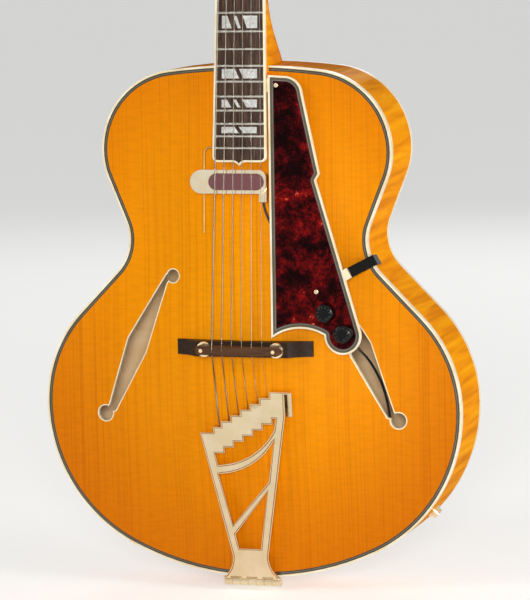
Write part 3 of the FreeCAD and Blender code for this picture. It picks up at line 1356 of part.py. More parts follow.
def make_pickup():
    top, under = PICKUP_UNDER, PICKUP_UNDER + PICKUP_T
    low = -PICKUP_TOP_AT - PICKUP_W
    body = prism(pickup_wire(), top, under)
    tab = box(PICKUP_TREBLE_END - PICKUP_TAB_W, PICKUP_TREBLE_END, top + PICKUP_TAB_DROP, under,
              low - PICKUP_TAB, low + PICKUP_CORNER_R)
    floor = under - PICKUP_FLOOR
    body = fused([body, tab]).cut(stadium(-WINDOW_FROM, WINDOW_LENGTH, WINDOW_W, top - 1, floor))
    guide = rod(V(-PICKUP_ROD_SIDE, PICKUP_ROD_UNDER, 0), V(-PICKUP_ROD_SIDE, PICKUP_ROD_UNDER, -SCALE),
                PICKUP_ROD_R + RUN_FIT)
    save("pickup_housing", on_neck(solid_of(body.cut(guide))))
    coil = stadium(-WINDOW_FROM + COIL_GAP, WINDOW_LENGTH - 2 * COIL_GAP, WINDOW_W - 2 * COIL_GAP,
                   top + COIL_SUNK, floor)
    save("pickup_coil", on_neck(coil))
    save("pickup_rod", PICKUP_ROD)


def in_front(x, rise, height):
    # A place by its distance in front of the rim and its height above the bridge line
    return V(x, FRONT - rise, BUTT_Z + BRIDGE_LINE + height)


def make_wiring():
    low = -PICKUP_TOP_AT - PICKUP_W - PICKUP_TAB
    lead_x = PICKUP_TREBLE_END - PICKUP_TAB_W / 2
    start = neck_point(V(lead_x, PICKUP_UNDER + PICKUP_T - 4, low - LEAD_GAP))
    turn = in_front(lead_x, *PICKUP_LEAD_TURN)
    first = bent_rod([start, turn] + [in_front(*p) for p in PICKUP_LEAD_PATH], LEAD_BEND_R, LEAD_R)
    pot_back = GUARD_T + POT_H
    pot = [guard_point(V(KNOB_LOW[0], pot_back + drop, KNOB_LOW[1])) for drop in (LEAD_GAP / 2, LEAD_DROP)]
    inner = JACK_PLACE - JACK_NORMAL * JACK_IN
    inner = inner - JACK_NORMAL * (LEAD_GAP / 2)
    run_in = inner - JACK_NORMAL * LEAD_RUN_IN
    second = bent_rod(pot + [in_front(*p) for p in JACK_LEAD_PATH] + [run_in, inner], LEAD_BEND_R, LEAD_R)
    save("wiring", Part.makeCompound([first, second]))


# Output jack, square to the rim
def jack_barrel(extra):
    inner = JACK_PLACE - JACK_NORMAL * JACK_IN
    return rod(inner, JACK_PLACE + JACK_NORMAL * JACK_OUT, JACK_BARREL_R + extra)


def make_jack():
    flange = rod(JACK_PLACE - JACK_NORMAL, JACK_PLACE + JACK_NORMAL * JACK_FLANGE_T, JACK_FLANGE_R)
    flange = flange.cut(body_prism(0, FRONT, BACK))
    floor = JACK_PLACE - JACK_NORMAL * (JACK_IN - JACK_FLOOR)
    bore = rod(floor, JACK_PLACE + JACK_NORMAL * JACK_IN, JACK_BORE_R)
    save("output_jack", fused([jack_barrel(0), solid_of(flange)]).cut(bore))


# Truss rod with its nut in the head, under a small cover
def cover_wire():
    low, high = COVER_LOW_W / 2, COVER_HIGH_W / 2
    start, end = 1.0, COVER_LENGTH
    return polygon([(-low, start), (low, start), (high, end), (-high, end)])


def make_truss():
    nut_start = TRUSS_END + 1
    bar = rod(V(0, TRUSS_DEPTH, TRUSS_FOOT), V(0, TRUSS_DEPTH, nut_start + TRUSS_NUT_LENGTH), TRUSS_ROD_R)
    nut = rod(V(0, TRUSS_DEPTH, nut_start), V(0, TRUSS_DEPTH, nut_start + TRUSS_NUT_LENGTH), TRUSS_NUT_R)
    save("truss_rod", on_neck(Part.makeCompound([bar, nut.cut(bar)])))
    holes = []
    for x, z in COVER_SCREWS:
        fixing = screw(SCREW_LENGTH)
        fixing.rotate(V(0, 0, 0), V(1, 0, 0), 90)
        fixing.translate(V(x, -COVER_T, z))
        SCREWS.append(on_head(fixing))
        holes.append(rod(V(x, -COVER_T, z), V(x, SCREW_LENGTH - COVER_T, z), SCREW_R))
    save("truss_rod_cover", on_head(prism(cover_wire(), -COVER_T, 0).cut(Part.makeCompound(holes))))


JACK_NORMAL = V(half_width(JACK_AT), 0, JACK_AT) - OUTLINE[1][0]
JACK_NORMAL.normalize()
JACK_PLACE = V(half_width(JACK_AT), 0, BUTT_Z + JACK_AT)
ROD_ROOT = tongue_edge(-1, -PICKUP_ROD_ROOT) + PICKUP_ROD_SUNK
PICKUP_ROD = on_neck(bent_rod([
    V(ROD_ROOT, PICKUP_ROD_UNDER, -PICKUP_ROD_ROOT),
    V(-PICKUP_ROD_SIDE, PICKUP_ROD_UNDER, -PICKUP_ROD_ROOT),
    V(-PICKUP_ROD_SIDE, PICKUP_ROD_UNDER, -PICKUP_ROD_END)], PICKUP_ROD_BEND, PICKUP_ROD_R))
os.makedirs("parts", exist_ok=True)
make_body()
make_neck()
make_board()
make_strings()
make_tuners()
make_bridge()
make_tailpiece()
make_buttons()
make_guard()
make_pickup()
make_wiring()
make_jack()
make_truss()
save("screws", Part.makeCompound(SCREWS))
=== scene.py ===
# %% [markdown]
# An archtop guitar, dressed for a studio picture. The hard shapes come from the imported frame, so this
# script gives them their woods, plastics and metals. It adds what is too fine for the solids: the black
# and white strips inside the bindings, the turns of string on the posts, an engraved line and the figures
# on the knobs. Strings and leads get copies here.

# %% Load the frame
import bpy
import bmesh
import json
import math
from mathutils import Matrix, Vector


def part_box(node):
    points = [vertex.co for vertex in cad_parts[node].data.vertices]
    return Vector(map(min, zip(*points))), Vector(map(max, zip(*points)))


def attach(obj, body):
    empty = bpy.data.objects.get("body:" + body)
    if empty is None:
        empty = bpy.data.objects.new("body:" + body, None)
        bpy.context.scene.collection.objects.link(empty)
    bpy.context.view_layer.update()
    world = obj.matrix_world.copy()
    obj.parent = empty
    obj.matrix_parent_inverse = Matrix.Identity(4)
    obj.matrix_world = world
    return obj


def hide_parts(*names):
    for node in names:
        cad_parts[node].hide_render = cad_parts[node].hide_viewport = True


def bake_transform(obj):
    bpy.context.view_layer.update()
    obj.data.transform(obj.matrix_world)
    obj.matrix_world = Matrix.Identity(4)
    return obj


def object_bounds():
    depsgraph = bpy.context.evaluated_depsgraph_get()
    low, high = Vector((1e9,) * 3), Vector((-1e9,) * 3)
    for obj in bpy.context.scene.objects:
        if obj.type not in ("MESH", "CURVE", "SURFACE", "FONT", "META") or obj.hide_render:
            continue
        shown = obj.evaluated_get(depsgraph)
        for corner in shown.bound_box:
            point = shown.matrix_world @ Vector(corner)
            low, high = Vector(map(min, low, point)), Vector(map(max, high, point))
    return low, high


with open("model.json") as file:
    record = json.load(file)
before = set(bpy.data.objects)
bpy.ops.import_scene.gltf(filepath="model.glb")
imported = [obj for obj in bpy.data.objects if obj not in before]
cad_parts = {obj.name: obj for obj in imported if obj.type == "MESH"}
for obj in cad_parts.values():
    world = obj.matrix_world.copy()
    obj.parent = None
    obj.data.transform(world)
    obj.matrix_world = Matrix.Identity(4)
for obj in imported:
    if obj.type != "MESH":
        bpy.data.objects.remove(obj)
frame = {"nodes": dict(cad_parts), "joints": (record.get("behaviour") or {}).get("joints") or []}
nodes = frame["nodes"]
cad_box = [list(corner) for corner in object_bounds()]
MM = 0.001


def put(name, data):
    """An object with this data, at the origin of the scene."""
    item = bpy.data.objects.new(name, data)
    bpy.context.scene.collection.objects.link(item)
    return item


print("pieces in the frame:", len(nodes))

# %% [markdown]
# The picture was taken from a little to the treble side and a little above the middle of the body, with
# a long lens from some metres away. The camera stands at the same place: it turns round the middle of
# the body by an azimuth and an elevation, and leans by a small roll.

# %% Camera at the photograph's place
AIM = Vector((18.1, -42.5, 301.4)) * MM
AZIMUTH = math.radians(17.24)
ELEVATION = math.radians(7.2)
ROLL = math.radians(-1.25)
DISTANCE = 3548.0 * MM
SENSOR = 36.0
FOCAL_PIXELS = 3415.0
PICTURE_HEIGHT = 600.0

back = Vector((math.sin(AZIMUTH) * math.cos(ELEVATION),
               -math.cos(AZIMUTH) * math.cos(ELEVATION),
               math.sin(ELEVATION)))
right = Vector((math.cos(AZIMUTH), math.sin(AZIMUTH), 0.0))
up = back.cross(right)
lean_right = right * math.cos(ROLL) + up * math.sin(ROLL)
lean_up = up * math.cos(ROLL) - right * math.sin(ROLL)
turn = Matrix((lean_right, lean_up, back)).transposed().to_4x4()
lens = bpy.data.cameras.new("studio_camera")
lens.sensor_width = SENSOR
lens.lens = SENSOR * FOCAL_PIXELS / PICTURE_HEIGHT
lens.clip_end = 50.0
camera = put("studio_camera", lens)
camera.matrix_world = Matrix.Translation(AIM + back * DISTANCE) @ turn
bpy.context.scene.camera = camera
print("camera lens", round(lens.lens, 1), "mm")

# %% [markdown]
# Colours are written as they look on a screen, in sRGB hex. The shaders count in linear light, so one
# function turns a hex value into linear red, green and blue. A second small function adds a node,
# sets its options and joins its inputs, which keeps each material readable as a short recipe. The colour
# sockets of a Mix node have no names of their own, so they go by number: inputs 6 and 7, and output 2.

# %% Colour and node helpers
MULTIPLY = {"data_type": "RGBA", "blend_type": "MULTIPLY"}
CHOOSE = {"data_type": "RGBA"}


def linear(text):
    """sRGB hex to linear RGBA."""
    values = [int(text[k:k + 2], 16) / 255 for k in (1, 3, 5)]
    return [v / 12.92 if v <= 0.04045 else ((v + 0.055) / 1.055) ** 2.4 for v in values] + [1.0]


def add(tree, kind, options=None, **inputs):
    """One node: its options, then its inputs as values or as links from other sockets.

    An input named i0, i1 and so on goes by its number. The option stops is a list of
    (place, hex) for a colour ramp.
    """
    node = tree.nodes.new("ShaderNode" + kind)
    options = dict(options or {})
    stops = options.pop("stops", None)
    for name, value in options.items():
        setattr(node, name, value)
    if stops:
        points = node.color_ramp.elements
        for point, (place, colour) in zip((points[1], points[0]), (stops[-1], stops[0])):
            point.position = place
            point.color = linear(colour)
        for place, colour in stops[1:-1]:
            points.new(place).color = linear(colour)
    for name, value in inputs.items():
        key = int(name[1:]) if name[0] == "i" and name[1:].isdigit() else name.replace("_", " ")
        socket = node.inputs[key]
        if isinstance(value, bpy.types.NodeSocket):
            tree.links.new(value, socket)
        else:
            socket.default_value = value
    return node


def new_material(name, **sockets):
    """A material with a Principled shader whose plain values are set on its own sockets."""
    material = bpy.data.materials.new(name)
    material.use_nodes = True
    shader = material.node_tree.nodes["Principled BSDF"]
    for key, value in sockets.items():
        shader.inputs[key.replace("_", " ")].default_value = value
    return material, material.node_tree, shader


def dress(material, *names):
    for name in names:
        slots = nodes[name].data.materials
        slots.clear()
        slots.append(material)
    print(material.name, "on", len(names), "pieces")


# %% [markdown]
# The top of the guitar is carved spruce under an amber lacquer. Spruce is quartersawn, so its growth
# rings show as straight fine lines up the body, about a millimetre apart. The lines here are drawn
# about two millimetres apart, because finer ones would blur away at this picture's size. The lacquer
# is thicker and more orange near the edge, and its polish is the clear coat. The underside is bare wood:
# its faces look to the back, along +Y.

# %% Amber lacquered spruce
GRAIN = 2.1 * MM
BARE_SPRUCE = "#ffe4ba"
spruce, tree, shader = new_material("lacquered_spruce", Roughness=0.45, IOR=1.5, Specular_IOR_Level=0.04,
                                    Coat_Weight=0.07, Coat_Roughness=0.12)
place = add(tree, "TexCoord").outputs["Object"]
lines_map = add(tree, "Mapping", Vector=place, Scale=(1 / GRAIN, 1.0, 2.0))
lines = add(tree, "TexNoise", Vector=lines_map.outputs["Vector"], Scale=1.0, Detail=3.0, Roughness=0.6)
silk_map = add(tree, "Mapping", Vector=place, Scale=(60.0, 1.0, 320.0))
silk = add(tree, "TexNoise", Vector=silk_map.outputs["Vector"], Scale=1.0, Detail=2.0)
centre_map = add(tree, "Mapping", {"vector_type": "TEXTURE"}, Vector=place,
                 Location=(0.0, 0.0, 0.31), Scale=(0.27, 1.0, 0.32))
reach = add(tree, "VectorMath", {"operation": "MULTIPLY"}, i0=centre_map.outputs["Vector"],
            i1=(1.0, 0.0, 1.0))
reach = add(tree, "VectorMath", {"operation": "LENGTH"}, i0=reach.outputs["Vector"])
amber = add(tree, "ValToRGB", {"stops": [(0.0, "#f29a00"), (0.55, "#ea8e00"), (0.85, "#d87900"),
                                         (1.0, "#d07000")]}, Fac=reach.outputs["Value"])
dark = add(tree, "ValToRGB", {"stops": [(0.36, "#d2a468"), (0.50, "#ffffff"), (0.72, "#fff2dc")]},
           Fac=lines.outputs["Fac"])
tone = add(tree, "Mix", MULTIPLY, Factor=0.36, i6=amber.outputs["Color"], i7=dark.outputs["Color"])
sheen = add(tree, "ValToRGB", {"stops": [(0.3, "#e8ddd0"), (0.6, "#ffffff")]}, Fac=silk.outputs["Fac"])
final = add(tree, "Mix", MULTIPLY, Factor=0.35, i6=tone.outputs[2], i7=sheen.outputs["Color"])
facing = add(tree, "SeparateXYZ", Vector=add(tree, "NewGeometry").outputs["Normal"])
inside = add(tree, "Math", {"operation": "GREATER_THAN"}, i0=facing.outputs["Y"], i1=0.2)
choice = add(tree, "Mix", CHOOSE, Factor=inside.outputs["Value"], i6=final.outputs[2],
             i7=linear(BARE_SPRUCE))
tree.links.new(choice.outputs[2], shader.inputs["Base Color"])
bump = add(tree, "Bump", Strength=0.05, Distance=0.2 * MM, Height=lines.outputs["Fac"])
tree.links.new(bump.outputs["Normal"], shader.inputs["Normal"])
dress(spruce, "top_plate")

# %% [markdown]
# Back, rims and neck are flamed maple under the same lacquer. The flame is a curl of the fibres that
# lights up in bands across the rim, 6 to 12 mm wide, so a noise is stretched along the rim's depth and
# squeezed along its length. Inside the body the wood is bare and pale, and the sound holes show it:
# faces that look towards the middle of the body are the inside ones, so they take the bare colour. That
# colour is partly the wood's own pale tone and partly painted light, drawn lighter still for the light
# inside the body.

# %% Flamed maple, lacquered outside and bare inside
FLAME = 9.0 * MM


def flamed_maple(name, stretch, inside):
    """Inside is None, or the place that bare faces look towards and the share of it that counts."""
    maple, tree, shader = new_material(name, Roughness=0.42, IOR=1.5, Specular_IOR_Level=0.0,
                                       Coat_Weight=0.05, Coat_Roughness=0.1)
    place = add(tree, "TexCoord").outputs["Object"]
    curl_map = add(tree, "Mapping", Vector=place, Scale=[k / FLAME for k in stretch])
    curl = add(tree, "TexNoise", Vector=curl_map.outputs["Vector"], Scale=1.0, Detail=1.5, Distortion=0.6)
    fibre_map = add(tree, "Mapping", Vector=place, Scale=(900.0, 900.0, 25.0))
    fibre = add(tree, "TexNoise", Vector=fibre_map.outputs["Vector"], Scale=1.0, Detail=2.0)
    amber = add(tree, "ValToRGB", {"stops": [(0.30, "#de8202"), (0.48, "#f29603"), (0.62, "#f8a204"),
                                             (0.8, "#feb010")]}, Fac=curl.outputs["Fac"])
    pores = add(tree, "ValToRGB", {"stops": [(0.3, "#dcc0a0"), (0.55, "#ffffff")]},
                Fac=fibre.outputs["Fac"])
    tone = add(tree, "Mix", MULTIPLY, Factor=0.3, i6=amber.outputs["Color"], i7=pores.outputs["Color"])
    colour = tone.outputs[2]
    if inside:
        middle, share = inside
        outward = add(tree, "VectorMath", {"operation": "SUBTRACT"}, i0=place, i1=middle)
        outward = add(tree, "VectorMath", {"operation": "MULTIPLY"}, i0=outward.outputs["Vector"], i1=share)
        facing = add(tree, "VectorMath", {"operation": "DOT_PRODUCT"}, i0=outward.outputs["Vector"],
                     i1=add(tree, "NewGeometry").outputs["Normal"])
        outside = add(tree, "Math", {"operation": "GREATER_THAN"}, i0=facing.outputs["Value"], i1=0.0)
        # The bare colour is pale maple made lighter still: painted light inside the body.
        bare = add(tree, "ValToRGB", {"stops": [(0.3, "#f8d09c"), (0.7, "#ffdcae")]},
                   Fac=curl.outputs["Fac"])
        choice = add(tree, "Mix", CHOOSE, Factor=outside.outputs["Value"], i6=bare.outputs["Color"],
                     i7=colour)
        colour = choice.outputs[2]
    tree.links.new(colour, shader.inputs["Base Color"])
    return maple


MIDDLE_OF_BODY = (0.0, 0.0, 0.28)
rim_inside = (MIDDLE_OF_BODY, (1.0, 0.0, 1.0))
back_inside = (MIDDLE_OF_BODY, (0.0, 1.0, 0.0))
dress(flamed_maple("flamed_maple_rim", (1.0, 0.08, 1.0), rim_inside), "rib_bass", "rib_treble")
dress(flamed_maple("flamed_maple_back", (0.12, 0.3, 1.0), back_inside), "back_plate")
dress(flamed_maple("flamed_maple_neck", (0.15, 0.15, 1.0), None), "neck", "heel_cap")

# %% [markdown]
# The blocks, linings and bars inside are bare spruce and basswood, seen only through the sound holes.
# They are sanded, not lacquered, so they are pale and dull, with soft lines up the grain.

# %% Bare inner wood
bare_wood, tree, shader = new_material("sanded_basswood", Roughness=0.8, IOR=1.45)
place = add(tree, "TexCoord").outputs["Object"]
soft_map = add(tree, "Mapping", Vector=place, Scale=(400.0, 400.0, 12.0))
soft = add(tree, "TexNoise", Vector=soft_map.outputs["Vector"], Scale=1.0, Detail=3.0)
pale = add(tree, "ValToRGB", {"stops": [(0.3, "#c79f74"), (0.7, "#e2c29a")]}, Fac=soft.outputs["Fac"])
tree.links.new(pale.outputs["Color"], shader.inputs["Base Color"])
dress(bare_wood, "end_blocks", "linings", "tone_bars")

# %% [markdown]
# The bindings are strips of cream celluloid, glued round the edges and scraped flush. Old celluloid is
# faintly cloudy, so its cream drifts a little over some centimetres, and it takes a soft polish. The nut
# is bone, which is cloudy too, over a few millimetres, so one function makes both.

# %% Cream celluloid and bone
CELLULOID_CLOUD = 25 * MM
BONE_CLOUD = 4 * MM


def cloudy(name, stops, size, roughness, ior):
    """A material with a slow drift between colours over about size metres."""
    material, tree, shader = new_material(name, Roughness=roughness, IOR=ior)
    place = add(tree, "TexCoord").outputs["Object"]
    cloud = add(tree, "TexNoise", Vector=place, Scale=1 / size, Detail=3.0)
    drift = add(tree, "ValToRGB", {"stops": stops}, Fac=cloud.outputs["Fac"])
    tree.links.new(drift.outputs["Color"], shader.inputs["Base Color"])
    return material


dress(cloudy("cream_celluloid", [(0.35, "#e6d6ac"), (0.65, "#f3e8c8")], CELLULOID_CLOUD, 0.28, 1.5),
      "back_binding", "f_hole_bindings", "fingerboard_binding", "guard_blocks")
dress(cloudy("polished_bone", [(0.3, "#e3d8bd"), (0.7, "#f0e8d4")], BONE_CLOUD, 0.35, 1.54), "nut")

# %% [markdown]
# The fingerboard is ebony, nearly black with brown streaks along the grain, oiled and not lacquered,
# so it keeps a low sheen. The bridge foot and the face of the head are the same wood, and the saddle
# bar is a browner rosewood.

# %% Oiled ebony and rosewood
def streaked(name, stops, roughness, grain):
    wood, tree, shader = new_material(name, Roughness=roughness, IOR=1.5, Specular_IOR_Level=0.14)
    place = add(tree, "TexCoord").outputs["Object"]
    streak_map = add(tree, "Mapping", Vector=place, Scale=grain)
    streak = add(tree, "TexNoise", Vector=streak_map.outputs["Vector"], Scale=1.0, Detail=4.0,
                 Roughness=0.65)
    colour = add(tree, "ValToRGB", {"stops": stops}, Fac=streak.outputs["Fac"])
    tree.links.new(colour.outputs["Color"], shader.inputs["Base Color"])
    bump = add(tree, "Bump", Strength=0.12, Distance=0.2 * MM, Height=streak.outputs["Fac"])
    tree.links.new(bump.outputs["Normal"], shader.inputs["Normal"])
    return wood


UP_GRAIN = (420.0, 420.0, 14.0)
ACROSS_GRAIN = (14.0, 420.0, 420.0)
board_stops = [(0.32, "#241913"), (0.52, "#453227"), (0.72, "#614a3b")]
foot_stops = [(0.32, "#1a110b"), (0.7, "#3a2718")]
saddle_stops = [(0.32, "#3a2414"), (0.7, "#62412a")]
dress(streaked("oiled_ebony_board", board_stops, 0.45, UP_GRAIN), "fingerboard", "headstock_overlay")
dress(streaked("oiled_ebony_bridge", foot_stops, 0.4, ACROSS_GRAIN), "bridge_base")
dress(streaked("oiled_rosewood", saddle_stops, 0.4, ACROSS_GRAIN), "bridge_saddle")

# %% [markdown]
# The edge of the top and the edge of the guard carry plies: a broad cream strip outside, and thin black
# and white strips inside it. In the frame each edge is one ring, so the plies are drawn by colour. A copy
# of the ring gets a number on each of its points, 0 on the outer edge of its front face and 1 on the
# inner edge, and the material turns that number into strips. The black and white strips are half a
# millimetre wide, finer than a pixel of this picture, so a few of them are drawn as one olive grey strip.

# %% Rings with a number that runs across their front face
TO_FRONT = -0.9
TOP_FRONT_DEPTH = 0.2 * MM
MERGE = 0.01 * MM


def loops_of(edges):
    """The closed loops that a set of edges makes, as sets of points."""
    left = set(edges)
    found = []
    while left:
        waiting = [left.pop()]
        points = set()
        while waiting:
            edge = waiting.pop()
            points.update(edge.verts)
            touching = [e for v in edge.verts for e in v.link_edges if e in left]
            left.difference_update(touching)
            waiting += touching
        found.append(points)
    return found


def reach_of(points):
    return sum(max(v.co[k] for v in points) - min(v.co[k] for v in points) for k in (0, 2))


def plied_ring(name, material, new_name):
    mesh = nodes[name].data.copy()
    mesh.name = new_name
    bm = bmesh.new()
    bm.from_mesh(mesh)
    across = bm.verts.layers.float.new("across")
    bmesh.ops.remove_doubles(bm, verts=bm.verts, dist=MERGE)
    bm.normal_update()
    front_y = min(v.co.y for v in bm.verts)
    front = {f for f in bm.faces if f.normal.y < TO_FRONT}
    if name == "top_binding":
        front = {f for f in front if f.calc_center_median().y < front_y + TOP_FRONT_DEPTH}
    border = [e for e in bm.edges if sum(f in front for f in e.link_faces) == 1]
    rings = sorted(loops_of(border), key=reach_of)
    for vert in bm.verts:
        vert[across] = 1.0 if vert in rings[0] else 0.0
    bm.to_mesh(mesh)
    bm.free()
    mesh.materials.clear()
    mesh.materials.append(material)
    ring = put(new_name, mesh)
    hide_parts(name)
    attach(ring, "guitar")
    print(new_name, "has", len(rings), "edge loops on its front")


def plied_celluloid(name, stops):
    material, tree, shader = new_material(name, Roughness=0.25, IOR=1.5)
    width = add(tree, "Attribute", {"attribute_name": "across"})
    plies = add(tree, "ValToRGB", {"stops": stops}, Fac=width.outputs["Fac"])
    plies.color_ramp.interpolation = "CONSTANT"
    drift = add(tree, "TexNoise", Vector=add(tree, "TexCoord").outputs["Object"],
                Scale=1 / CELLULOID_CLOUD, Detail=3.0)
    cloud = add(tree, "ValToRGB", {"stops": [(0.35, "#efe6d2"), (0.65, "#ffffff")]},
                Fac=drift.outputs["Fac"])
    tone = add(tree, "Mix", MULTIPLY, Factor=1.0, i6=plies.outputs["Color"], i7=cloud.outputs["Color"])
    tree.links.new(tone.outputs[2], shader.inputs["Base Color"])
    return material


CREAM = "#f3e9cd"
top_plies = [(0.0, CREAM), (0.36, "#3a372b"), (0.62, "#676250"), (0.82, "#2e2b21")]
guard_plies = [(0.0, CREAM), (0.33, "#565144"), (0.76, "#7c7068"), (0.88, "#1a0f0d")]
plied_ring("top_binding", plied_celluloid("plied_celluloid_edge", top_plies), "top_edge_plies")
plied_ring("pickguard_binding", plied_celluloid("plied_celluloid_guard", guard_plies), "guard_edge_plies")

# %% [markdown]
# The position marks are split blocks of mother of pearl. Pearl is made of thin layers, so it shows soft
# patches of grey, pink and green a few millimetres wide.

# %% Mother of pearl
PEARL_PATCH = 7 * MM
pearl, tree, shader = new_material("mother_of_pearl", Roughness=0.18, IOR=1.6)
place = add(tree, "TexCoord").outputs["Object"]
layers = add(tree, "TexNoise", Vector=place, Scale=1 / PEARL_PATCH, Detail=2.0, Distortion=1.5)
patches = add(tree, "ValToRGB", {"stops": [(0.25, "#8f9492"), (0.42, "#c9cac4"), (0.52, "#b5b0ae"),
                                           (0.62, "#dcdcd6"), (0.78, "#9aa39e")]}, Fac=layers.outputs["Fac"])
tree.links.new(patches.outputs["Color"], shader.inputs["Base Color"])
dress(pearl, "position_inlays")

# %% [markdown]
# The metal fittings are gold plated over a polish, so a clean plate mirrors the pale studio and looks
# almost cream, and its edges go to a deep gold. Handling leaves a faint cloud on the polish, a centimetre
# or two across, which is drawn in the roughness. The tailpiece is a little worn and the pickup's shell is
# new and pale. The rod that carries the pickup is bare brass with a duller polish, and its colour is
# painted darker than brass, as shade. The frets are nickel silver.

# %% Gold plate, nickel silver and steel
def polished_metal(name, colours, shine, cloud):
    """A metal whose polish drifts between two roughness values over cloud metres."""
    metal, tree, shader = new_material(name, Metallic=1.0)
    place = add(tree, "TexCoord").outputs["Object"]
    drift = add(tree, "TexNoise", Vector=place, Scale=1 / cloud, Detail=4.0)
    tint = add(tree, "ValToRGB", {"stops": [(0.3, colours[0]), (0.7, colours[1])]},
               Fac=drift.outputs["Fac"])
    tree.links.new(tint.outputs["Color"], shader.inputs["Base Color"])
    polish = add(tree, "MapRange", Value=drift.outputs["Fac"], From_Min=0.3, From_Max=0.7,
                 To_Min=shine[0], To_Max=shine[1])
    tree.links.new(polish.outputs["Result"], shader.inputs["Roughness"])
    return metal


STRINGS = range(1, 7)
gold = polished_metal("polished_gold_plate", ("#efd3a0", "#f5dfb8"), (0.16, 0.26), 15 * MM)
dress(gold, "screws", "tuner_housings", "tuner_bushings", "bridge_posts", "thumbwheel_bass",
      "thumbwheel_treble", "hinge_pin", "strap_buttons", "string_ball_ends", "output_jack",
      *["tuner_key_%d" % k for k in STRINGS], *["string_post_%d" % k for k in STRINGS])
worn_gold = polished_metal("worn_gold_plate", ("#dbc8a0", "#e4d3b2"), (0.18, 0.28), 15 * MM)
dress(worn_gold, "tailpiece_bracket", "tailpiece_frame")
# The pickup rod's brass is painted darker than brass, as shade; its rougher polish is its own.
OTHER_METALS = {"pickup_housing": ("pale_gold_plate", ("#ffe8bc", "#fff2d2"), (0.14, 0.22), 15 * MM),
                "pickup_rod": ("dull_brass_with_painted_shade", ("#a5844a", "#b89458"), (0.38, 0.52), 10 * MM),
                "frets": ("drawn_nickel_silver", ("#bdb8ac", "#d5d1c6"), (0.18, 0.34), 6 * MM),
                "truss_rod": ("machined_steel", ("#8d8e90", "#a9aaac"), (0.3, 0.45), 5 * MM),
                "potentiometers": ("zinc_plated_steel", ("#7f8080", "#a3a4a2"), (0.4, 0.55), 6 * MM)}
for name, recipe in OTHER_METALS.items():
    dress(polished_metal(*recipe), name)

# %% [markdown]
# The four bass strings are wound with fine wire and the two treble strings are plain. The windings are a
# quarter of a millimetre apart, too fine for this picture, so they are drawn one millimetre apart as faint
# rings up the string: the wire is one metal, and the darker band of each ring is painted shade between the
# turns. Plain strings stay bright, and their place across tells them apart.

# %% String steel
WINDING = 1.0 * MM
PLAIN_FROM_X = 9.0 * MM
string_wire, tree, shader = new_material("wound_and_plain_string_wire", Metallic=1.0, Roughness=0.3)
place = add(tree, "SeparateXYZ", Vector=add(tree, "TexCoord").outputs["Object"])
turns = add(tree, "Math", {"operation": "MULTIPLY"}, i0=place.outputs["Z"], i1=2 * math.pi / WINDING)
wave = add(tree, "Math", {"operation": "SINE"}, i0=turns.outputs["Value"])
rise = add(tree, "MapRange", Value=wave.outputs["Value"], From_Min=-1.0)
# The darker colour in these rings is painted shade between the turns of the winding.
rings = add(tree, "ValToRGB", {"stops": [(0.1, "#5a544b"), (0.7, "#7e776a")]}, Fac=rise.outputs["Result"])
is_plain = add(tree, "Math", {"operation": "GREATER_THAN"}, i0=place.outputs["X"], i1=PLAIN_FROM_X)
both = add(tree, "Mix", CHOOSE, Factor=is_plain.outputs["Value"], i6=rings.outputs["Color"],
           i7=linear("#8c8882"))
tree.links.new(both.outputs[2], shader.inputs["Base Color"])
dress(string_wire, "strings", "string_tails")

# %% [markdown]
# The guard is cut from tortoise celluloid: near black red with clouds of ruby and a few bright amber
# streaks, under a high polish. Two noises make it, a broad one for the clouds, 34 mm across with rough
# fine detail, and a stretched one for the streaks, 4 mm by 7 mm, that shows only where the clouds are
# light.

# %% Tortoise celluloid
CLOUD = 34 * MM
STREAK = (4 * MM, 7 * MM)
tortoise, tree, shader = new_material("tortoise_celluloid", Roughness=0.2, IOR=1.5, Specular_IOR_Level=0.04)
place = add(tree, "TexCoord").outputs["Object"]
clouds = add(tree, "TexNoise", Vector=place, Scale=1 / CLOUD, Detail=9.0, Roughness=0.86, Distortion=0.25)
base = add(tree, "ValToRGB", {"stops": [(0.42, "#0e0203"), (0.48, "#2a0406"), (0.55, "#600a0c"),
                                        (0.63, "#9a1612"), (0.78, "#6a0c0a")]}, Fac=clouds.outputs["Fac"])
streak_map = add(tree, "Mapping", Vector=place, Scale=(1 / STREAK[0], 1.0, 1 / STREAK[1]),
                 Rotation=(0.0, 0.5, 0.0))
streaks = add(tree, "TexNoise", Vector=streak_map.outputs["Vector"], Scale=1.0, Detail=4.0, Roughness=0.6,
              Distortion=0.8)
where = add(tree, "MapRange", Value=clouds.outputs["Fac"], From_Min=0.48, From_Max=0.60)
bright = add(tree, "Math", {"operation": "MULTIPLY"}, i0=streaks.outputs["Fac"], i1=where.outputs["Result"])
glow = add(tree, "ValToRGB", {"stops": [(0.47, "#000000"), (0.55, "#5a1610"), (0.63, "#e07a50")]},
           Fac=bright.outputs["Value"])
lit = add(tree, "Mix", {"data_type": "RGBA", "blend_type": "ADD"}, Factor=0.8, i6=base.outputs["Color"],
          i7=glow.outputs["Color"])
tree.links.new(lit.outputs[2], shader.inputs["Base Color"])
dress(tortoise, "pickguard")

# %% [markdown]
# The rest are plastics: glossy black for the knobs, the cover on the head and the guard's arm, a dull
# mauve cover over the pickup's coil, black rubber on the leads, and a clear soft bumper where the arm
# meets the rim. Moulded plastic has a faint grain, which is a fine bump of about half a millimetre.

# %% Plastics
def moulded(name, stops, roughness, grain, shine=0.5):
    plastic, tree, shader = new_material(name, Roughness=roughness, IOR=1.5, Specular_IOR_Level=shine)
    place = add(tree, "TexCoord").outputs["Object"]
    speck = add(tree, "TexNoise", Vector=place, Scale=1 / grain, Detail=3.0)
    colour = add(tree, "ValToRGB", {"stops": stops}, Fac=speck.outputs["Fac"])
    tree.links.new(colour.outputs["Color"], shader.inputs["Base Color"])
    bump = add(tree, "Bump", Strength=0.04, Distance=0.1 * MM, Height=speck.outputs["Fac"])
    tree.links.new(bump.outputs["Normal"], shader.inputs["Normal"])
    return plastic


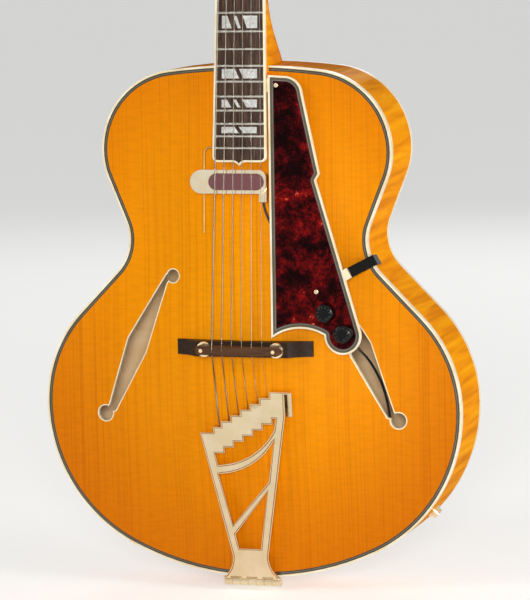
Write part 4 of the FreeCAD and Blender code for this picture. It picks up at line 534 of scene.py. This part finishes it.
black_abs = moulded("black_abs", [(0.3, "#0a0908"), (0.7, "#15130f")], 0.2, 0.4 * MM, 0.15)
dress(black_abs, "truss_rod_cover", "guard_bracket_arm")
knob_abs = moulded("polished_black_abs", [(0.3, "#030303"), (0.7, "#070707")], 0.06, 0.4 * MM, 0.25)
dress(knob_abs, "volume_knob", "tone_knob")
dress(moulded("mauve_coil_cover", [(0.3, "#5f3438"), (0.7, "#7c4a4c")], 0.3, 0.6 * MM), "pickup_coil")
rubber = moulded("rubber_lead", [(0.3, "#111111"), (0.7, "#222120")], 0.5, 0.5 * MM)
dress(rubber, "wiring")
bumper = moulded("clear_vinyl", [(0.3, "#d8d6cf"), (0.7, "#eeece6")], 0.12, 1.0 * MM)
clear = bumper.node_tree.nodes["Principled BSDF"].inputs
clear["Transmission Weight"].default_value = 0.85
clear["IOR"].default_value = 1.45
dress(bumper, "bracket_bumper")

# %% [markdown]
# Each string is wound a few turns round its post. The turns are one circle, spun round the post's axis
# while it sinks by its own thickness, so it is a screw motion: bmesh's spin does that with a step along
# the axis. The turns ride on the post.

# %% String turns on the posts
GAUGES = (1.32, 1.07, 0.81, 0.61, 0.41, 0.30)
POST_HOLES = ((-20.5, -16.88, 941.48), (-23.0, -3.73, 979.25), (-25.5, 9.43, 1017.03),
              (25.5, 9.43, 1017.03), (23.0, -3.73, 979.25), (20.5, -16.88, 941.48))
POST_RADIUS = 3.0 * MM
STRING_GAP = 0.12 * MM
TURNS = 3
STEPS = 24
PITCH = 1.06
FINE_MERGE = 0.001 * MM
joint_axis = {j["name"]: Vector(j["axis"]).normalized() for j in frame["joints"]}


def new_piece(name, bm, material, body):
    """The finished mesh as an object at the origin that rides on a body."""
    mesh = bpy.data.meshes.new(name)
    bm.to_mesh(mesh)
    bm.free()
    mesh.materials.append(material)
    piece = put(name, mesh)
    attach(piece, body)
    print(name, "has", len(mesh.polygons), "faces")


for number, gauge, hole in zip(STRINGS, GAUGES, POST_HOLES):
    axis = joint_axis["post_%d_turn" % number]
    thick = gauge * MM
    centre = Vector(hole) * MM
    side = 1 if hole[0] > 0 else -1
    start = centre + Vector((-side * (POST_RADIUS + STRING_GAP + thick / 2), 0, 0))
    along = axis.cross(Vector((1, 0, 0))).normalized()
    section = Matrix.Translation(start) @ along.to_track_quat("Z", "Y").to_matrix().to_4x4()
    bm = bmesh.new()
    bmesh.ops.create_circle(bm, cap_ends=True, segments=8, radius=thick / 2, matrix=section)
    bmesh.ops.spin(bm, geom=bm.faces[:] + bm.edges[:] + bm.verts[:], cent=centre, axis=axis,
                   dvec=-axis * (thick * PITCH / STEPS), angle=-side * TURNS * 2 * math.pi,
                   steps=TURNS * STEPS, use_merge=False, use_duplicate=False)
    bmesh.ops.remove_doubles(bm, verts=bm.verts, dist=FINE_MERGE)
    bmesh.ops.recalc_face_normals(bm, faces=bm.faces)
    new_piece("string_turns_%d" % number, bm, string_wire, "post_%d" % number)

# %% [markdown]
# When the thumbwheels lift the saddle, the strings go up with it at that end and stay in the nut at the
# other, and the lengths behind the saddle follow the tailpiece's hinge. Here the strings are copied in
# place, and the lengths behind the saddle are copied as two pieces, cut 20 mm below their top end. The
# lengths behind the saddle also follow the tailpiece's hinge, and a blend crosses one joint only, so they
# are cut into two pieces.

# %% Copies of the strings, with their tails cut in two
TAIL_CUT = 20 * MM


def string_copy(name, new_name, cut=None):
    """A copy of a node, or the part of it on the near side of a cutting plane."""
    mesh = nodes[name].data.copy()
    mesh.name = new_name
    if cut:
        bm = bmesh.new()
        bm.from_mesh(mesh)
        bmesh.ops.remove_doubles(bm, verts=bm.verts, dist=FINE_MERGE)
        whole = bm.verts[:] + bm.edges[:] + bm.faces[:]
        bmesh.ops.bisect_plane(bm, geom=whole, dist=FINE_MERGE, plane_co=cut[0], plane_no=cut[1],
                               clear_outer=True)
        bmesh.ops.holes_fill(bm, edges=[e for e in bm.edges if e.is_boundary], sides=0)
        bmesh.ops.recalc_face_normals(bm, faces=bm.faces)
        bm.to_mesh(mesh)
        bm.free()
    piece = put(new_name, mesh)
    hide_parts(name)
    print(new_name, "has", len(mesh.polygons), "faces")
    return piece


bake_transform(string_copy("strings", "strings_to_nut"))
tail_top = Vector((0.0, 0.0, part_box("string_tails")[1][2]))
tail_cut = tail_top - Vector((0, 0, TAIL_CUT))
upper = string_copy("string_tails", "string_tails_upper", (tail_cut, (0, 0, -1)))
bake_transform(upper)
lower = string_copy("string_tails", "string_tails_lower", (tail_cut, (0, 0, 1)))
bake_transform(lower)

# %% [markdown]
# Two thin leads carry the signal: one from the pickup to the first control, and one from the second
# control through the sound hole to the jack. Each is a smooth curve with the route's points as its control
# points, and a round tube along it. The pickup slides, but its lead stays where it is drawn; the lead to the
# jack rides with the guitar.

# %% Leads
LEAD_RADIUS = 1.3 * MM
PICKUP_ROUTE = ((25.0, -62.17, 404.88), (25.0, -59.5, 395.5), (38.0, -58.1, 369.5),
                (58.0, -58.0, 337.5), (79.0, -59.5, 312.2), (87.7, -62.0, 299.3))
JACK_ROUTE = ((111.5, -61.11, 271.07), (111.5, -53.92, 270.59), (119.0, -50.5, 254.5),
              (128.0, -30.5, 237.5), (140.0, -8.5, 197.5), (144.14, 0.0, 113.49), (159.12, 0.0, 100.24))


def lead(name, route):
    """A tube on a NURBS curve whose control points are the route, and the curve's own points."""
    curve = bpy.data.curves.new(name, "CURVE")
    curve.dimensions = "3D"
    spline = curve.splines.new("NURBS")
    spline.points.add(len(route) - 1)
    for point, place in zip(spline.points, route):
        point.co = [v * MM for v in place] + [1.0]
    spline.order_u = 3
    spline.use_endpoint_u = True
    spline.resolution_u = 12
    holder = bpy.data.objects.new(name, curve)
    line = bpy.data.meshes.new_from_object(holder)
    path = [v.co.copy() for v in line.vertices]
    curve.bevel_depth = LEAD_RADIUS
    curve.bevel_resolution = 3
    curve.use_fill_caps = True
    mesh = bpy.data.meshes.new_from_object(holder)
    mesh.name = name
    bpy.data.objects.remove(holder)
    bpy.data.curves.remove(curve)
    bpy.data.meshes.remove(line)
    mesh.materials.clear()
    mesh.materials.append(rubber)
    for face in mesh.polygons:
        face.use_smooth = True
    tube = put(name, mesh)
    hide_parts("wiring")
    length = sum((b - a).length for a, b in zip(path, path[1:]))
    print(name, "is", round(length / MM, 1), "mm long")
    return tube, path


pickup_lead, path = lead("pickup_lead", PICKUP_ROUTE)
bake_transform(pickup_lead)
jack_lead, path = lead("jack_lead", JACK_ROUTE)
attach(jack_lead, "guitar")

# %% [markdown]
# The plate of the tailpiece has a fine line engraved a millimetre inside every edge. On the real plate a
# graver cuts it after polishing. Here a copy of the plate gets three insets of its front: the first
# leaves the margin, the second sinks the floor of the groove and the third brings it up again, so the
# line is a real V groove that catches the light. Its walls are unpolished, and their gold is painted much
# darker as the shade that falls in the groove.

# %% Engraved line on the tailpiece
# The groove walls are rougher, and their darker gold is painted shade in the groove.
engraved = polished_metal("engraved_gold_painted_shade", ("#8a5d20", "#a8752e"), (0.45, 0.6), 5 * MM)
MARGIN = 0.9 * MM
GROOVE = 0.45 * MM
GROOVE_DEPTH = GROOVE * 0.6
SAME_WAY = 0.9999
SAME_LEVEL = 0.05 * MM


def engrave(name, body):
    mesh = nodes[name].data.copy()
    mesh.name = name + "_engraved"
    mesh.materials.clear()
    mesh.materials.append(worn_gold)
    mesh.materials.append(engraved)
    bm = bmesh.new()
    bm.from_mesh(mesh)
    bmesh.ops.remove_doubles(bm, verts=bm.verts, dist=MERGE)
    bm.normal_update()
    largest = max((f for f in bm.faces if f.normal.y < TO_FRONT), key=lambda f: f.calc_area())
    plane, level = largest.normal.copy(), largest.normal.dot(largest.verts[0].co)
    flat = {f for f in bm.faces if f.normal.dot(plane) > SAME_WAY
            and abs(plane.dot(f.verts[0].co) - level) < SAME_LEVEL}
    front = list(flat)
    for width, depth, index in ((MARGIN, 0.0, 0), (GROOVE, -GROOVE_DEPTH, 1), (GROOVE, GROOVE_DEPTH, 1)):
        wall = bmesh.ops.inset_region(bm, faces=front, thickness=width, depth=depth,
                                      use_even_offset=False, use_boundary=True)
        for face in wall["faces"]:
            face.material_index = index
    count = len(bm.faces)
    bm.to_mesh(mesh)
    bm.free()
    plate = put(mesh.name, mesh)
    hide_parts(name)
    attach(plate, body)
    print(mesh.name, "front faces", len(flat), "of", count)


engrave("tailpiece_frame", "tailpiece")

# %% [markdown]
# The knobs carry plain figures from 1 to 10 round their tops, as on most volume and tone controls. Each
# figure is a text turned into a mesh, laid flat on the knob and turned to its hour, and all ten become
# one piece that rides with its knob.

# %% Figures on the knobs
KNOBS = {"volume_control": "volume_knob", "tone_control": "tone_knob"}
FIGURES = 10
FIGURE_SIZE = 3.0 * MM
FIGURE_CIRCLE = 5.3 * MM
FIGURE_DEPTH = 0.03 * MM
FIGURE_LIFT = 0.04 * MM
FIRST_HOUR = 150
HOURS = 300
TOP_BAND = 0.01 * MM
figure_ink = moulded("figure_paint", [(0.3, "#3e3d39"), (0.7, "#4e4c47")], 0.5, 0.5 * MM, 0.2)
for body, knob in KNOBS.items():
    outward = joint_axis[body.replace("_control", "_turn")]
    corners = [v.co for v in nodes[knob].data.vertices]
    level = max(p.dot(outward) for p in corners)
    rim = [p for p in corners if p.dot(outward) > level - TOP_BAND]
    top = sum(rim, Vector()) / len(rim)
    sideways = Vector((1, 0, 0))
    upward = outward.cross(sideways).normalized()
    flat = Matrix((sideways, upward, outward)).transposed().to_4x4()
    bm = bmesh.new()
    for figure in range(1, FIGURES + 1):
        text = bpy.data.curves.new("figure", "FONT")
        text.body = str(figure)
        text.size = FIGURE_SIZE
        text.align_x = "CENTER"
        text.extrude = FIGURE_DEPTH
        text.resolution_u = 2
        holder = bpy.data.objects.new("figure", text)
        drawn = bpy.data.meshes.new_from_object(holder)
        hour = math.radians(FIRST_HOUR - (figure - 1) * HOURS / (FIGURES - 1))
        spin = Matrix.Rotation(hour, 4, "Z") @ Matrix.Translation((0, FIGURE_CIRCLE, 0))
        drawn.transform(Matrix.Translation(top + outward * FIGURE_LIFT) @ flat @ spin)
        bm.from_mesh(drawn)
        bpy.data.objects.remove(holder)
        bpy.data.curves.remove(text)
        bpy.data.meshes.remove(drawn)
    new_piece(body.replace("_control", "_figures"), bm, figure_ink, body)

# %% [markdown]
# The studio is one wide pale floor with nothing behind it, so the guitar can be seen from every side. The
# floor shows its own pale colour to the camera and to mirrors, and still takes the guitar's shadow.

# %% Floor
FLOOR_Z = cad_box[0][2] - 0.5 * MM
FLOOR_HALF = 40.0
FLOOR_GLOW = 0.52
PAPER_FIBRE = 2 * MM
bm = bmesh.new()
bmesh.ops.create_grid(bm, x_segments=1, y_segments=1, size=FLOOR_HALF,
                      matrix=Matrix.Translation((0, 0, FLOOR_Z)))
floor_mesh = bpy.data.meshes.new("studio_floor")
bm.to_mesh(floor_mesh)
bm.free()
floor = put("studio_floor", floor_mesh)
paper, tree, shader = new_material("pale_paper", Roughness=0.9, IOR=1.4, Emission_Color=linear("#f4f4f2"))
fibres = add(tree, "TexNoise", Vector=add(tree, "TexCoord").outputs["Object"], Scale=1 / PAPER_FIBRE,
             Detail=2.0)
tone = add(tree, "ValToRGB", {"stops": [(0.3, "#e5e4e1"), (0.7, "#e9e8e5")]}, Fac=fibres.outputs["Fac"])
tree.links.new(tone.outputs["Color"], shader.inputs["Base Color"])
ray = add(tree, "LightPath")
seen = add(tree, "Math", {"operation": "MAXIMUM"}, i0=ray.outputs["Is Camera Ray"],
           i1=ray.outputs["Is Glossy Ray"])
seen = add(tree, "Math", {"operation": "MAXIMUM"}, i0=seen.outputs["Value"],
           i1=ray.outputs["Is Transmission Ray"])
glow = add(tree, "Math", {"operation": "MULTIPLY"}, i0=seen.outputs["Value"], i1=FLOOR_GLOW)
tree.links.new(glow.outputs["Value"], shader.inputs["Emission Strength"])
floor_mesh.materials.append(paper)
print("floor at", round(FLOOR_Z / MM, 1), "mm")

# %% [markdown]
# The lamps are large and soft, two in front, one at the treble side and one behind. The world lights all
# sides evenly, so the woods keep the colours they were given. Mirrors see a brighter sky than the camera.

# %% Lamps and world
MIDDLE = Vector((0.0, 0.0, 0.32))
SKY_ON_WOOD = 0.2
SKY_IN_MIRRORS = 0.75
SKY_SEEN = 0.6


def lamp(name, place, size, power):
    """A soft rectangle of light, size metres wide and high, that looks at the guitar."""
    data = bpy.data.lights.new(name, "AREA")
    data.shape = "RECTANGLE"
    data.size, data.size_y = size
    data.energy = power
    beam = MIDDLE - Vector(place)
    turn = beam.to_track_quat("-Z", "Y").to_matrix().to_4x4()
    put(name, data).matrix_world = Matrix.Translation(place) @ turn


lamp("key_window", (-2.3, -2.4, 1.9), (1.0, 1.0), 24.0)
lamp("front_window", (1.0, -3.4, 0.9), (0.6, 0.6), 72.0)
lamp("fill_window", (2.7, -0.7, 0.7), (1.0, 1.6), 46.0)
lamp("back_window", (-0.6, 3.2, 1.8), (1.2, 1.2), 14.0)
world = bpy.data.worlds.new("studio_world")
bpy.context.scene.world = world
world.use_nodes = True
tree = world.node_tree
ray = add(tree, "LightPath")
seen = add(tree, "Math", {"operation": "MAXIMUM"}, i0=ray.outputs["Is Glossy Ray"],
           i1=ray.outputs["Is Transmission Ray"])
mirrored = add(tree, "MapRange", Value=seen.outputs["Value"], To_Min=SKY_ON_WOOD, To_Max=SKY_IN_MIRRORS)
straight = add(tree, "Math", {"operation": "MULTIPLY"}, i0=ray.outputs["Is Camera Ray"], i1=SKY_SEEN)
level = add(tree, "Math", {"operation": "MAXIMUM"}, i0=mirrored.outputs["Result"],
            i1=straight.outputs["Value"])
air = tree.nodes["Background"]
air.inputs["Color"].default_value = linear("#f4f5f7")
tree.links.new(level.outputs["Value"], air.inputs["Strength"])
bpy.context.scene.view_settings.view_transform = "Standard"
print("lamps:", len(bpy.data.lights))
